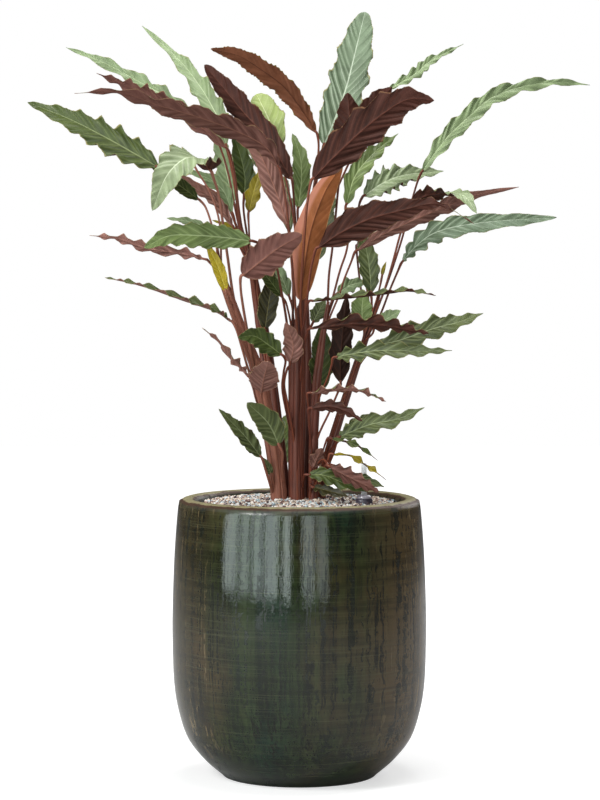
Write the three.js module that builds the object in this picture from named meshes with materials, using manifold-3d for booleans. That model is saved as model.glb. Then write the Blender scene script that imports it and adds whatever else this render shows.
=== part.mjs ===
// Potted calathea with long waved leaves, in a turned glazed planter.
// Millimetres, +Z up, front towards -Y. Origin at the centre of the pot's underside.

import * as THREE from "three";
import Module from "manifold-3d";

const wasm = await Module();
wasm.setup();

// Driving sizes

// Planter
const POT_HEIGHT = 405;
const POT_BASE_RADIUS = 115;
const POT_BELLY_RADIUS = 185;
const POT_MOUTH_RADIUS = 150;
const POT_FLOOR = 25;
const POT_SIDES = 40;

// Insert that holds the granulate
const LINER_OUTER = 143;
const LINER_WALL = 3;
const LINER_TOP = 399;
const LINER_SIDES = 32;

// Granulate
const GRIT_RADIUS = LINER_OUTER - LINER_WALL - 0.4;
const GRIT_EDGE_Z = 396;
const GRIT_HEAP = 5;
const GRIT_BUMP = 1.2;
const GRIT_BOTTOM = POT_FLOOR + 0.4 + LINER_WALL + 0.4;
const STEM_DEPTH = 30;
const HOLE_GAP = 0.4;

// Water gauge
const GAUGE_X = 93;
const GAUGE_Y = -50;
const GAUGE_CAP_RADIUS = 12.5;
const GAUGE_CAP_BOTTOM = 380;
const GAUGE_CAP_TOP = 413;
const GAUGE_TUBE_RADIUS = 4.2;
const GAUGE_TUBE_TOP = 459;

// Where the plant is looked at from when its leaves are read in the front view
const EYE_DISTANCE = 4000;
const EYE_HEIGHT = 755;
const FOOT_HEIGHT = 412;
const SPREAD_RISE = 340;
const CROWN_SPREAD = 0.85;

// Leaves
const BLADE_THICKNESS = 1.1;
const RIB_THICKNESS = 2.6;
const NECK_RADIUS = 2.3;
const TIP_HALF_WIDTH = 1.0;
const SCALLOP = 0.17;
const STALK_RADIUS = 2.6;
const STALK_SIDES = 3;
const STEM_SIDES = 6;
const JOINT_GAP = 0.3;

// Plant tables

// Stems: name, then the points of the sheathed stem as seen from the front, from the
// granulate upwards: across, depth, height, radius.
const STEMS = [
  ["stem_left_lean",
    [[-30, -16, 412, 12], [-34, -18, 450, 11.5], [-42, -22, 500, 11], [-54, -28, 560, 10.5],
     [-64, -34, 600, 10], [-76, -40, 630, 9], [-88, -44, 660, 8.5], [-103, -49, 700, 8.5],
     [-118, -52, 740, 8.5], [-130, -53, 770, 5]]],
  ["stem_left_back",
    [[-25, 17, 412, 12], [-32, 19, 480, 12], [-40, 19, 550, 11.5], [-49, 18, 620, 11],
     [-58, 15, 680, 10], [-68, 10, 740, 8]]],
  ["stem_centre_front",
    [[-4, -10, 412, 12.5], [-5, -10, 500, 12], [-5, -10, 600, 12.5], [-3, -8, 650, 10.5],
     [0, -6, 684, 6]]],
  ["stem_centre_back",
    [[9, 19, 412, 10], [11, 20, 500, 10], [10, 22, 600, 9], [6, 24, 700, 8], [0, 26, 760, 5]]],
  ["stem_right_inner",
    [[20, -15, 412, 7], [21, -17, 500, 7], [26, -20, 580, 6.5], [34, -20, 640, 6],
     [42, -20, 690, 4]]],
  ["stem_right_outer",
    [[31, 5, 412, 7.5], [37, 5, 450, 7.5], [52, 4, 500, 7], [66, 4, 545, 6.5], [84, 2, 600, 6],
     [104, 0, 660, 5.5], [116, -2, 700, 4]]],
];

// Leaves: name, stem, colour, width, fullness, share of the length at which the leaf is
// widest, roll at the base and at the tip in degrees (0 has the upper face up, 90 has it
// towards the front, -90 has the underside there), fold, waves, wave height, points of
// the midrib from base to tip, points of the stalk downwards, and the height at which the
// stalk joins its stem. Points are across, depth and height as seen from the front. A name
// that starts with "young" is fused to its stem.
const LEAVES = [
  ["left_01", 1, "deep", 44, 0.7, 0.41, 78, 78, 18, 7, 3.8,
    [[-205, 16, 885], [-240, 22, 905], [-285, 32, 930], [-335, 42, 955], [-393, 55, 978]],
    [[-150, 14, 862], [-110, 10, 838], [-88, 10, 790]], 735],
  ["left_02", 0, "pale", 60, 0.65, 0.36, 20, 85, 10, 6, 2.5,
    [[-129, -62, 880], [-142, -72, 895], [-165, -88, 897], [-192, -105, 872], [-213, -118, 822]],
    [[-124, -61, 868], [-117, -58, 845], [-111, -56, 805], [-104, -53, 755]], 690],
  ["young_03", 0, "brown", 8, 0.9, 0.41, 40, 40, 10, 3, 2.5,
    [[-155, -44, 890], [-168, -46, 905], [-188, -50, 917]],
    [[-146, -44, 876], [-128, -45, 845], [-115, -47, 800]], 730],
  ["left_04", 0, "deep", 22, 0.9, 0.41, 70, 70, 15, 5, 2.5,
    [[-146, -34, 838], [-165, -44, 852], [-188, -58, 868], [-215, -70, 885]],
    [[-136, -35, 827], [-129, -40, 808], [-120, -44, 775]], 722],
  ["left_05", 1, "dusty", 18, 0.8, 0.41, -72, -72, 12, 5, 2,
    [[-97, -16, 800], [-118, -20, 833], [-145, -25, 853], [-178, -32, 878]],
    [[-92, -12, 780]], 735],
  ["young_06", 1, "sage", 22, 0.9, 0.41, 75, 75, 12, 3, 2,
    [[-97, 2, 818], [-110, 0, 850], [-132, -3, 868], [-168, -8, 882]],
    [[-88, 6, 785]], 730],
  ["left_07", 1, "sage", 22, 0.9, 0.41, 58, 82, 15, 5, 4,
    [[-150, 24, 960], [-190, 28, 985], [-232, 33, 1008], [-288, 40, 1038], [-337, 46, 1057]],
    [[-120, 24, 925], [-104, 24, 880], [-94, 20, 830], [-84, 14, 785]], 735],
  ["left_08", 1, "plum", 28, 0.85, 0.41, -62, -62, 12, 7, 4,
    [[-106, -6, 912], [-158, -10, 955], [-205, -16, 980], [-245, -22, 1000], [-293, -30, 1020]],
    [[-98, -4, 895], [-93, -2, 870], [-87, 0, 820], [-80, 4, 780]], 735],
  ["left_09", 2, "plum", 33, 1.05, 0.36, -72, -60, 12, 8, 4,
    [[-30, -22, 885], [-48, -28, 913], [-87, -36, 935], [-143, -50, 956], [-200, -62, 973],
     [-262, -76, 993], [-325, -88, 991]],
    [[-25, -20, 865], [-19, -19, 830], [-15, -18, 795], [-11, -16, 745], [-7, -14, 700]], 640],
  ["young_10", 2, "dusty", 32, 0.85, 0.41, -80, -80, 10, 3, 2,
    [[-17, -7, 800], [-34, -5, 850], [-58, -4, 905], [-92, -4, 948]],
    [[-13, -8, 770], [-9, -8, 720]], 645],
  ["left_11", 3, "maroon", 39, 0.5, 0.45, -76, -76, 12, 6, 2.5,
    [[-12, 16, 868], [-43, 28, 922], [-79, 46, 962], [-108, 62, 997], [-137, 78, 1032]],
    [[-8, 16, 840], [-5, 18, 800]], 735],
  ["left_12", 3, "brown", 32, 0.62, 0.48, -80, -80, 14, 6, 1.8,
    [[24, 2, 935], [5, -2, 965], [-22, -8, 1000], [-55, -16, 1025], [-88, -24, 1045],
     [-128, -32, 1055]],
    [[28, 4, 915], [26, 8, 890], [20, 12, 850], [12, 16, 800]], 735],
  ["left_13", 1, "sage", 33, 0.8, 0.41, 72, 88, 15, 6, 3.6,
    [[-106, 16, 916], [-113, 20, 945], [-123, 26, 966], [-143, 38, 1000], [-172, 54, 1037],
     [-227, 76, 1088]],
    [[-101, 13, 895], [-94, 10, 860], [-86, 10, 800]], 735],
  ["left_14", 1, "sage", 32, 0.8, 0.41, 80, 80, 12, 5, 3,
    [[-95, 46, 835], [-104, 54, 870], [-112, 64, 905], [-120, 76, 942]],
    [[-84, 36, 800]], 725],
  ["left_15", 3, "sage", 17, 0.85, 0.41, 70, 70, 15, 7, 2.5,
    [[-33, 22, 840], [-54, 28, 885], [-78, 35, 918], [-108, 44, 952], [-136, 54, 978],
     [-157, 62, 996]],
    [[-24, 22, 818], [-14, 24, 785]], 725],
  ["young_16", 3, "lime", 47, 0.5, 0.58, 85, 85, 10, 3, 2,
    [[-30, 58, 905], [-42, 66, 948], [-62, 78, 990]],
    [[-20, 52, 870], [-8, 38, 810]], 735],
  ["left_17", 3, "fresh", 28, 0.75, 0.41, 84, 84, 12, 5, 2.2,
    [[-2, 34, 825], [3, 40, 865], [1, 48, 900], [-10, 56, 933]],
    [[-2, 32, 805]], 745],
  ["left_18", 1, "deep", 33, 0.75, 0.41, 82, 82, 12, 5, 2.2,
    [[-80, 25, 845], [-79, 24, 870], [-85, 24, 900], [-96, 24, 932]],
    [[-80, 24, 815]], 730],
  ["young_19", 1, "yellow", 22, 0.8, 0.41, 80, 80, 10, 3, 2,
    [[-73, 14, 820], [-66, 14, 850], [-56, 16, 882]],
    [[-73, 12, 795]], 725],
  ["young_20", 1, "yellow", 9, 0.8, 0.41, 60, 60, 10, 3, 1,
    [[-88, 4, 788], [-104, 2, 800], [-126, 2, 808]],
    [[-80, 6, 770]], 730],
  ["young_21", 0, "sage", 12, 0.8, 0.41, 60, 60, 10, 3, 1.5,
    [[-132, -46, 798], [-160, -50, 806], [-192, -54, 811]],
    [[-122, -46, 782]], 725],
  ["left_22", 2, "fresh", 36, 0.6, 0.41, 80, 80, 10, 7, 2.5,
    [[-70, -66, 778], [-110, -70, 783], [-150, -76, 786], [-190, -82, 785], [-225, -88, 768]],
    [[-56, -60, 772], [-36, -50, 750], [-27, -42, 710], [-19, -28, 665]], 600],
  ["left_23", 0, "plum", 50, 0.6, 0.41, -80, -80, 8, 5, 2,
    [[-82, -78, 728], [-55, -82, 749], [-30, -88, 768], [4, -96, 787]],
    [[-85, -72, 708], [-82, -64, 685], [-77, -54, 655]], 570],
  ["young_24", 0, "gold", 18, 0.6, 0.41, 75, 75, 8, 3, 0.8,
    [[-107, -66, 706], [-118, -67, 740], [-134, -68, 773]],
    [[-103, -60, 696]], 680],
  ["left_25", 0, "dusty", 18, 0.85, 0.41, -48, -48, 14, 6, 3.2,
    [[-139, -56, 752], [-170, -54, 760], [-223, -50, 768], [-262, -48, 781], [-304, -46, 786]],
    [[-132, -55, 749]], 730],
  ["left_26", 0, "dusty", 22, 0.85, 0.41, 12, 12, 25, 7, 3.4,
    [[-100, -54, 662], [-122, -56, 676], [-172, -60, 693], [-230, -64, 713], [-282, -68, 725]],
    [[-91, -53, 648], [-82, -48, 618], [-73, -42, 588]], 555],
  ["left_27", 0, "dusty", 20, 0.85, 0.41, -25, -25, 18, 5, 3,
    [[-74, -52, 581], [-84, -53, 592], [-100, -55, 607], [-118, -57, 632], [-141, -60, 652]],
    [[-67, -50, 564], [-60, -42, 540]], 505],
  ["left_28", 2, "deep", 32, 0.7, 0.41, 75, 75, 12, 5, 2.5,
    [[-26, -62, 613], [-46, -64, 628], [-66, -68, 640], [-89, -74, 638]],
    [[-20, -58, 603], [-23, -50, 585], [-24, -38, 558]], 500],
  ["left_29", 2, "dusty", 30, 0.7, 0.41, -78, -78, 10, 4, 2,
    [[-13, -46, 601], [-9, -48, 628], [-20, -54, 660]],
    [[-18, -44, 591], [-22, -40, 570], [-18, -34, 545]], 485],
  ["left_30", 0, "dusty", 44, 0.6, 0.41, -86, -86, 10, 4, 1.8,
    [[-55, -50, 559], [-52, -78, 578], [-45, -112, 603]],
    [[-53, -42, 540]], 490],
  ["left_31", 0, "green", 38, 0.6, 0.41, 80, 80, 10, 4, 1.8,
    [[-30, -64, 482], [-46, -70, 514], [-76, -82, 543]],
    [[-24, -60, 468], [-25, -46, 450]], 425],
  ["left_32", 0, "green", 25, 0.8, 0.41, 70, 70, 12, 5, 4.8,
    [[-56, -44, 464], [-80, -54, 495], [-117, -68, 534]],
    [[-49, -38, 445], [-41, -28, 420]], 408],
  ["young_33", 0, "green", 12, 0.7, 0.41, 80, 80, 8, 3, 1,
    [[-41, -30, 438], [-46, -33, 450], [-53, -36, 463]],
    [[-38, -26, 426]], 412],

  ["right_01", 3, "silver", 58, 0.45, 0.5, 84, 84, 10, 6, 2.2,
    [[36, 46, 917], [53, 58, 958], [68, 74, 1000], [82, 92, 1055], [95, 108, 1108]],
    [[30, 42, 890], [20, 36, 840], [10, 30, 780]], 715],
  ["young_02", 4, "maroon", 44, 0.6, 0.41, -80, -80, 10, 3, 3,
    [[62, 18, 905], [72, 22, 945], [70, 24, 992]],
    [[60, 14, 885], [56, 10, 850], [53, 6, 818], [48, 3, 768], [43, -4, 728]], 680],
  ["young_03b", 3, "maroon", 36, 0.7, 0.41, -76, -76, 12, 3, 2.5,
    [[86, 28, 942], [110, 34, 974], [134, 42, 1000]],
    [[74, 26, 915], [60, 25, 880], [46, 24, 835], [28, 24, 780]], 725],
  ["right_03", 3, "sage", 18, 0.85, 0.41, 72, 72, 15, 6, 3,
    [[128, 54, 996], [167, 68, 1019], [190, 80, 1038], [237, 104, 1062]],
    [[112, 50, 972], [88, 46, 925], [60, 42, 865], [28, 34, 795]], 740],
  ["right_04", 2, "maroon", 55, 0.75, 0.41, -78, -78, 10, 6, 2.8,
    [[20, -22, 868], [57, -34, 906], [108, -50, 952], [155, -66, 982], [195, -80, 981]],
    [[14, -22, 850], [10, -23, 820], [7, -23, 780], [4, -21, 735], [2, -18, 690]], 645],
  ["centre_01", 2, "orange", 46, 0.6, 0.41, -84, -84, 14, 3, 1,
    [[2, -4, 692], [9, -4, 750], [19, -3, 800], [38, -2, 850], [62, 0, 888]],
    [[0, -5, 682]], 672],
  ["right_05", 5, "sage", 27, 0.8, 0.41, 66, 88, 15, 7, 3.4,
    [[178, 6, 878], [197, 10, 906], [218, 16, 932], [245, 22, 957], [277, 30, 984], [324, 40, 1001],
     [374, 50, 1007], [420, 58, 1003]],
    [[170, 4, 860], [160, 2, 825], [150, 0, 785], [139, -2, 750], [127, -4, 715]], 675],
  ["right_06", 4, "fresh", 29, 0.85, 0.41, 72, 72, 15, 5, 3.5,
    [[68, 10, 830], [81, 20, 872], [109, 38, 906], [143, 60, 933]],
    [[68, 4, 812], [71, -2, 785], [68, -8, 762], [59, -12, 735], [51, -15, 705]], 665],
  ["right_07", 5, "pale", 38, 0.75, 0.41, 68, 68, 15, 7, 4,
    [[94, 20, 843], [120, 30, 861], [152, 44, 873], [209, 68, 879]],
    [[86, 20, 825], [86, 21, 785], [93, 20, 735], [100, 15, 695]], 645],
  ["right_08", 5, "pale", 30, 0.75, 0.41, -76, 72, 10, 6, 3.5,
    [[162, -6, 834], [188, -17, 845], [217, -32, 847], [240, -45, 842], [257, -56, 818]],
    [[156, -4, 815], [147, -4, 790], [135, -6, 745], [124, -6, 708]], 668],
  ["right_09", 2, "maroon", 49, 2.0, 0.27, -74, -70, 10, 7, 2.5,
    [[27, -34, 768], [62, -42, 791], [102, -52, 810], [146, -64, 822], [190, -76, 832],
     [216, -84, 826], [253, -94, 803]],
    [[20, -32, 752], [16, -30, 733], [12, -27, 700]], 635],
  ["right_10", 4, "dusty", 25, 0.8, 0.41, -70, -70, 12, 6, 2,
    [[84, -22, 764], [122, -24, 788], [165, -24, 808], [200, -20, 823], [231, -14, 835],
     [259, -4, 845], [318, 6, 856]],
    [[75, -20, 747], [65, -19, 722], [58, -19, 700]], 655],
  ["right_11", 5, "silver", 31, 0.6, 0.5, 60, 96, 15, 7, 3.8,
    [[150, -20, 748], [165, -27, 766], [191, -36, 787], [228, -46, 799], [290, -58, 807],
     [373, -74, 812]],
    [[142, -17, 732], [131, -14, 706], [117, -8, 670]], 635],
  ["right_12", 5, "green", 30, 0.7, 0.41, 84, 84, 10, 5, 2.2,
    [[104, 2, 703], [102, 2, 735], [97, 3, 765], [88, 4, 792]],
    [[105, 1, 690]], 655],
  ["young_13", 5, "yellow", 6, 0.8, 0.41, 80, 80, 8, 3, 0.5,
    [[120, -6, 727], [122, -6, 737], [126, -7, 748]],
    [[117, -6, 712]], 690],
  ["right_14", 2, "maroon", 22, 0.85, 0.41, 6, 6, 25, 6, 3.5,
    [[18, -50, 691], [66, -58, 695], [117, -68, 700], [158, -78, 705], [198, -90, 699]],
    [[11, -46, 681], [7, -36, 660]], 610],
  ["right_15", 2, "maroon", 28, 0.75, 0.41, -38, -38, 18, 6, 4.5,
    [[18, -54, 651], [73, -66, 658], [123, -82, 656], [155, -94, 650], [188, -106, 644]],
    [[11, -50, 643], [7, -40, 622]], 575],
  ["right_16", 5, "green", 34, 0.8, 0.41, 68, 68, 14, 6, 4.2,
    [[112, -24, 627], [146, -30, 634], [195, -38, 651], [230, -44, 660], [267, -52, 673]],
    [[102, -18, 618]], 592],
  ["right_17", 4, "green", 25, 0.85, 0.41, 64, 64, 14, 7, 4.2,
    [[53, -50, 609], [76, -54, 614], [118, -62, 619], [175, -72, 618], [222, -82, 619]],
    [[47, -45, 598], [41, -36, 578]], 545],
  ["young_18", 5, "sage", 22, 0.8, 0.41, 75, 75, 10, 3, 2,
    [[112, -22, 655], [130, -30, 667], [147, -36, 677]],
    [[106, -14, 643]], 628],
  ["young_19b", 5, "fresh", 32, 0.7, 0.41, 82, 82, 8, 3, 2,
    [[92, -22, 660], [91, -24, 682], [94, -26, 704]],
    [[94, -14, 642]], 620],
  ["right_20", 4, "umber", 33, 0.75, 0.41, -84, -84, 10, 5, 2,
    [[60, -28, 573], [60, -30, 610], [64, -32, 655], [69, -34, 698]],
    [[56, -26, 558], [44, -24, 530]], 490],
  ["young_21b", 3, "deep", 36, 0.6, 0.45, 82, 82, 10, 3, 2,
    [[29, 8, 560], [33, 10, 604], [32, 14, 655]],
    [[26, 8, 545]], 505],
  ["young_22", 4, "sage", 22, 0.75, 0.41, 70, 70, 12, 3, 2.5,
    [[56, -2, 702], [74, 4, 714], [98, 10, 720]],
    [[48, -8, 688]], 655],
  ["young_23", 2, "green", 22, 0.75, 0.41, 78, 78, 10, 3, 2,
    [[20, -4, 660], [28, -2, 676], [38, 0, 693]],
    [[14, -6, 648]], 625],
  ["young_24b", 1, "olive", 30, 0.7, 0.41, 84, 84, 10, 3, 2,
    [[-50, -8, 650], [-44, -9, 692], [-37, -10, 735]],
    [[-48, -5, 635]], 600],
  ["young_25", 2, "deep", 20, 0.8, 0.41, 72, 72, 10, 3, 2,
    [[-26, -18, 698], [-44, -24, 722], [-62, -30, 742]],
    [[-18, -13, 684]], 645],
  ["young_26", 2, "sage", 20, 0.8, 0.41, 75, 75, 10, 3, 2,
    [[-15, 5, 698], [-26, 7, 726], [-42, 9, 752]],
    [[-10, 0, 680]], 640],
  ["right_27", 4, "dusty", 22, 0.8, 0.41, -18, -18, 18, 5, 3.8,
    [[16, -50, 557], [59, -58, 561], [91, -66, 559], [126, -76, 545]],
    [[12, -46, 550], [14, -36, 530]], 485],
  ["right_28", 4, "maroon", 19, 0.8, 0.41, -62, -62, 12, 5, 2.2,
    [[17, -60, 535], [45, -66, 538], [68, -74, 531], [92, -84, 516]],
    [[13, -56, 528], [14, -42, 508]], 465],
  ["right_29", 5, "green", 30, 0.8, 0.41, 66, 66, 14, 6, 3.5,
    [[58, -40, 493], [76, -44, 501], [106, -52, 512], [145, -62, 520], [182, -72, 536]],
    [[53, -34, 480], [46, -20, 460]], 430],
  ["young_30", 5, "green", 20, 0.8, 0.41, 72, 72, 10, 3, 2,
    [[64, -16, 498], [86, -20, 513], [109, -24, 527]],
    [[58, -10, 488]], 465],
  ["young_31", 4, "deep", 11, 0.9, 0.41, 30, 30, 10, 3, 3,
    [[46, -52, 491], [72, -58, 485], [92, -64, 476], [114, -70, 459]],
    [[38, -46, 484], [32, -32, 465]], 440],
  ["young_32", 4, "yellow", 10, 0.9, 0.41, 30, 30, 10, 3, 3,
    [[48, -56, 468], [74, -68, 466], [92, -76, 455], [108, -84, 445], [127, -92, 430]],
    [[42, -52, 460], [34, -38, 440]], 422],
  ["right_33", 4, "plum", 26, 0.75, 0.41, -60, -60, 12, 5, 3,
    [[44, -66, 450], [66, -76, 438], [92, -86, 425], [116, -94, 413]],
    [[40, -58, 456], [33, -44, 460], [25, -28, 448]], 425],
  ["young_34", 4, "green", 15, 0.8, 0.41, 70, 70, 12, 3, 2,
    [[76, -56, 438], [98, -61, 430], [124, -68, 420]],
    [[62, -50, 446], [46, -40, 453], [32, -28, 446]], 425],
  ["right_35", 2, "deep", 25, 0.8, 0.41, 66, 66, 14, 5, 3,
    [[14, -48, 438], [37, -54, 437], [66, -58, 425], [100, -64, 413]],
    [[7, -42, 436]], 418],
  ["young_36", 4, "olive", 17, 0.75, 0.41, 58, 58, 12, 3, 2.5,
    [[20, -46, 420], [44, -63, 414], [72, -80, 406]],
    [[18, -34, 423]], 412],
  ["young_37", 4, "dusty", 20, 0.6, 0.41, -75, -75, 10, 3, 2.5,
    [[20, -34, 448], [26, -38, 462], [33, -44, 477]],
    [[20, -28, 440]], 430],

  ["back_01", 1, "fresh", 28, 0.75, 0.41, 84, 84, 12, 5, 3,
    [[-98, 44, 785], [-130, 75, 790], [-170, 112, 790], [-195, 135, 786]],
    [[-84, 38, 765]], 715],
  ["young_b2", 3, "green", 28, 0.75, 0.41, 84, 84, 12, 3, 3,
    [[-14, 50, 792], [-24, 85, 845], [-38, 135, 895]],
    [[-8, 44, 770]], 725],
  ["back_03", 3, "green", 34, 0.7, 0.41, 84, 84, 12, 5, 3,
    [[26, 52, 750], [36, 90, 812], [48, 145, 878]],
    [[18, 42, 725]], 690],
  ["back_04", 5, "green", 30, 0.75, 0.41, 84, 84, 12, 5, 3,
    [[84, 38, 770], [110, 78, 795], [150, 140, 808]],
    [[86, 26, 735]], 640],
  ["young_b5", 1, "deep", 30, 0.7, 0.41, 84, 84, 12, 3, 2.5,
    [[-20, 56, 455], [-22, 100, 500], [-14, 160, 530]],
    [[-22, 42, 435]], 414],
];

// Colours: upper face or underside, whichever is turned to the front
const COLOURS = {
  green: 0x6f8a55,
  fresh: 0x7f9a5f,
  sage: 0x9db38a,
  pale: 0xb4c8a2,
  silver: 0xa9bda6,
  deep: 0x42532f,
  olive: 0x4d4a26,
  lime: 0xafbf78,
  yellow: 0xb6a93f,
  gold: 0xc9b24a,
  maroon: 0x4e3230,
  plum: 0x5f413c,
  dusty: 0x7a5a56,
  umber: 0x3a2420,
  brown: 0x6a4331,
  orange: 0x97603b,
};

// Helpers

const UP = new THREE.Vector3(0, 0, 1);
const radians = (degrees) => (degrees * Math.PI) / 180;

// Move a point read in the front view along its sight line to its own depth. The depths
// open out from the foot of the plant to its crown.
function place([across, depth, height]) {
  const rise = Math.min(Math.max((height - FOOT_HEIGHT) / SPREAD_RISE, 0), 1);
  const y = depth * (1 + CROWN_SPREAD * rise);
  const k = 1 + y / EYE_DISTANCE;
  return new THREE.Vector3(across * k, y, EYE_HEIGHT + (height - EYE_HEIGHT) * k);
}

// Position and direction at fraction s of a smooth curve through the points.
function along(points, s) {
  const last = points.length - 1;
  const at = Math.min(s * last, last - 1e-9);
  const i = Math.floor(at);
  const t = at - i;
  const b = points[i];
  const c = points[i + 1];
  const a = i > 0 ? points[i - 1] : b.clone().multiplyScalar(2).sub(c);
  const d = i + 2 <= last ? points[i + 2] : c.clone().multiplyScalar(2).sub(b);
  const position = new THREE.Vector3();
  const direction = new THREE.Vector3();
  for (const key of ["x", "y", "z"]) {
    const m0 = (c[key] - a[key]) / 2;
    const m1 = (d[key] - b[key]) / 2;
    const cubic = 2 * b[key] - 2 * c[key] + m0 + m1;
    const square = -3 * b[key] + 3 * c[key] - 2 * m0 - m1;
    position[key] = ((cubic * t + square) * t + m0) * t + b[key];
    direction[key] = (3 * cubic * t + 2 * square) * t + m0;
  }
  return [position, direction.normalize()];
}

// Closed solid through rings of points that run right-handed around the path. The strips
// listed in otherWay are split along their other diagonal.
function loft(rings, otherWay = []) {
  const n = rings[0].length;
  const last = rings.length - 1;
  const positions = rings.flat().flatMap((p) => [p.x, p.y, p.z]);
  const triangles = [];
  for (let i = 0; i < last; i += 1) {
    for (let j = 0; j < n; j += 1) {
      const a = i * n + j;
      const b = i * n + ((j + 1) % n);
      const c = b + n;
      const d = a + n;
      if (otherWay.includes(j)) triangles.push(a, b, d, b, c, d);
      else triangles.push(a, b, c, a, c, d);
    }
  }
  for (let j = 1; j < n - 1; j += 1) {
    triangles.push(0, j + 1, j);
    triangles.push(last * n, last * n + j, last * n + j + 1);
  }
  return new wasm.Manifold(new wasm.Mesh({
    numProp: 3,
    vertProperties: new Float32Array(positions),
    triVerts: new Uint32Array(triangles),
  }));
}

// Solid turned about a vertical axis from a profile of [radius, height].
function turned(profile, sides, x = 0, y = 0) {
  return loft(profile.map(([radius, height]) => Array.from({ length: sides }, (_, j) => {
    const angle = (2 * Math.PI * j) / sides;
    return new THREE.Vector3(x + radius * Math.cos(angle), y + radius * Math.sin(angle), height);
  })));
}

// Ring of points around a path, and a tube of such rings with a radius at each point.
function ring(centre, direction, radius, sides, side) {
  const across = side.clone().addScaledVector(direction, -side.dot(direction)).normalize();
  const third = direction.clone().cross(across);
  return Array.from({ length: sides }, (_, j) => {
    const angle = (2 * Math.PI * j) / sides;
    return centre.clone()
      .addScaledVector(across, radius * Math.cos(angle))
      .addScaledVector(third, radius * Math.sin(angle));
  });
}

function mesh(name, solid, colour, roughness, metalness = 0) {
  const { vertProperties, triVerts } = solid.getMesh();
  const geometry = new THREE.BufferGeometry();
  geometry.setAttribute("position", new THREE.BufferAttribute(new Float32Array(vertProperties), 3));
  geometry.setIndex(new THREE.BufferAttribute(new Uint32Array(triVerts), 1));
  const material = new THREE.MeshStandardMaterial({ color: colour, roughness, metalness });
  const piece = new THREE.Mesh(geometry, material);
  piece.name = name;
  return piece;
}

// Planter and filling

const potProfile = [
  [POT_BASE_RADIUS - 3, 0], [POT_BASE_RADIUS, 3], [140, 25], [163.6, 56], [177, 97], [183, 137],
  [POT_BELLY_RADIUS, 190], [POT_BELLY_RADIUS, 240], [182, 322], [176.5, 392], [173, 401],
  [165, POT_HEIGHT], [155, 403.5], [POT_MOUTH_RADIUS, 396], [POT_MOUTH_RADIUS + 12, 160],
  [138, POT_FLOOR],
];
const pot = turned(potProfile, POT_SIDES);

const linerFloor = POT_FLOOR + 0.4;
const liner = turned([
  [118, linerFloor], [LINER_OUTER, linerFloor + 60], [LINER_OUTER, LINER_TOP],
  [LINER_OUTER - LINER_WALL, LINER_TOP], [LINER_OUTER - LINER_WALL, linerFloor + 61],
  [116, linerFloor + LINER_WALL],
], LINER_SIDES);

// Height of the granulate's top at a point: a low heap with a fine swell.
function gritTop(x, y) {
  const r = Math.hypot(x, y) / GRIT_RADIUS;
  const swell = Math.sin(x * 0.21 + 1.3) * Math.cos(y * 0.19) + Math.sin(x * 0.11 - y * 0.16);
  return GRIT_EDGE_Z + GRIT_HEAP * (1 - r * r) + GRIT_BUMP * swell * (1 - r ** 6);
}

function substrate() {
  const rings = [];
  const circle = (radius, height) => Array.from({ length: LINER_SIDES }, (_, j) => {
    const angle = (2 * Math.PI * j) / LINER_SIDES;
    const x = radius * Math.cos(angle);
    const y = radius * Math.sin(angle);
    return new THREE.Vector3(x, y, height ?? gritTop(x, y));
  });
  rings.push(circle(115, GRIT_BOTTOM));
  rings.push(circle(GRIT_RADIUS, linerFloor + 62));
  for (const part of [1, 0.8, 0.56, 0.3, 0.08]) rings.push(circle(GRIT_RADIUS * part));
  return loft(rings);
}

// Stems

const stemPoints = STEMS.map(([, rows]) => rows.map(place));
const stemRadii = STEMS.map(([, rows]) => rows.map((row) => row[3]));

// Point on a stem's axis at a height.
function onStem(stem, height) {
  const points = stemPoints[stem];
  if (height <= points[0].z) return new THREE.Vector3(points[0].x, points[0].y, height);
  let i = 0;
  while (i < points.length - 2 && points[i + 1].z < height) i += 1;
  const t = (height - points[i].z) / (points[i + 1].z - points[i].z);
  return points[i].clone().lerp(points[i + 1], Math.min(t, 1));
}

// Sheathed stem: a straight foot in the granulate, then the leaning stem.
function stemSolid(stem, wider = 0, footOnly = false) {
  const points = stemPoints[stem];
  const radii = stemRadii[stem];
  const side = new THREE.Vector3(1, 0, 0);
  const foot = points[0].clone();
  foot.z = points[0].z - STEM_DEPTH - wider;
  const rings = [foot, points[0]].map((p) => ring(p, UP, radii[0] + wider, STEM_SIDES, side));
  if (footOnly) return loft(rings);
  for (let i = 1; i < points.length; i += 1) {
    const next = points[Math.min(i + 1, points.length - 1)];
    const direction = next.clone().sub(points[i - 1]).normalize();
    rings.push(ring(points[i], direction, radii[i], STEM_SIDES, side));
  }
  return loft(rings);
}

// Leaves

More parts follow.
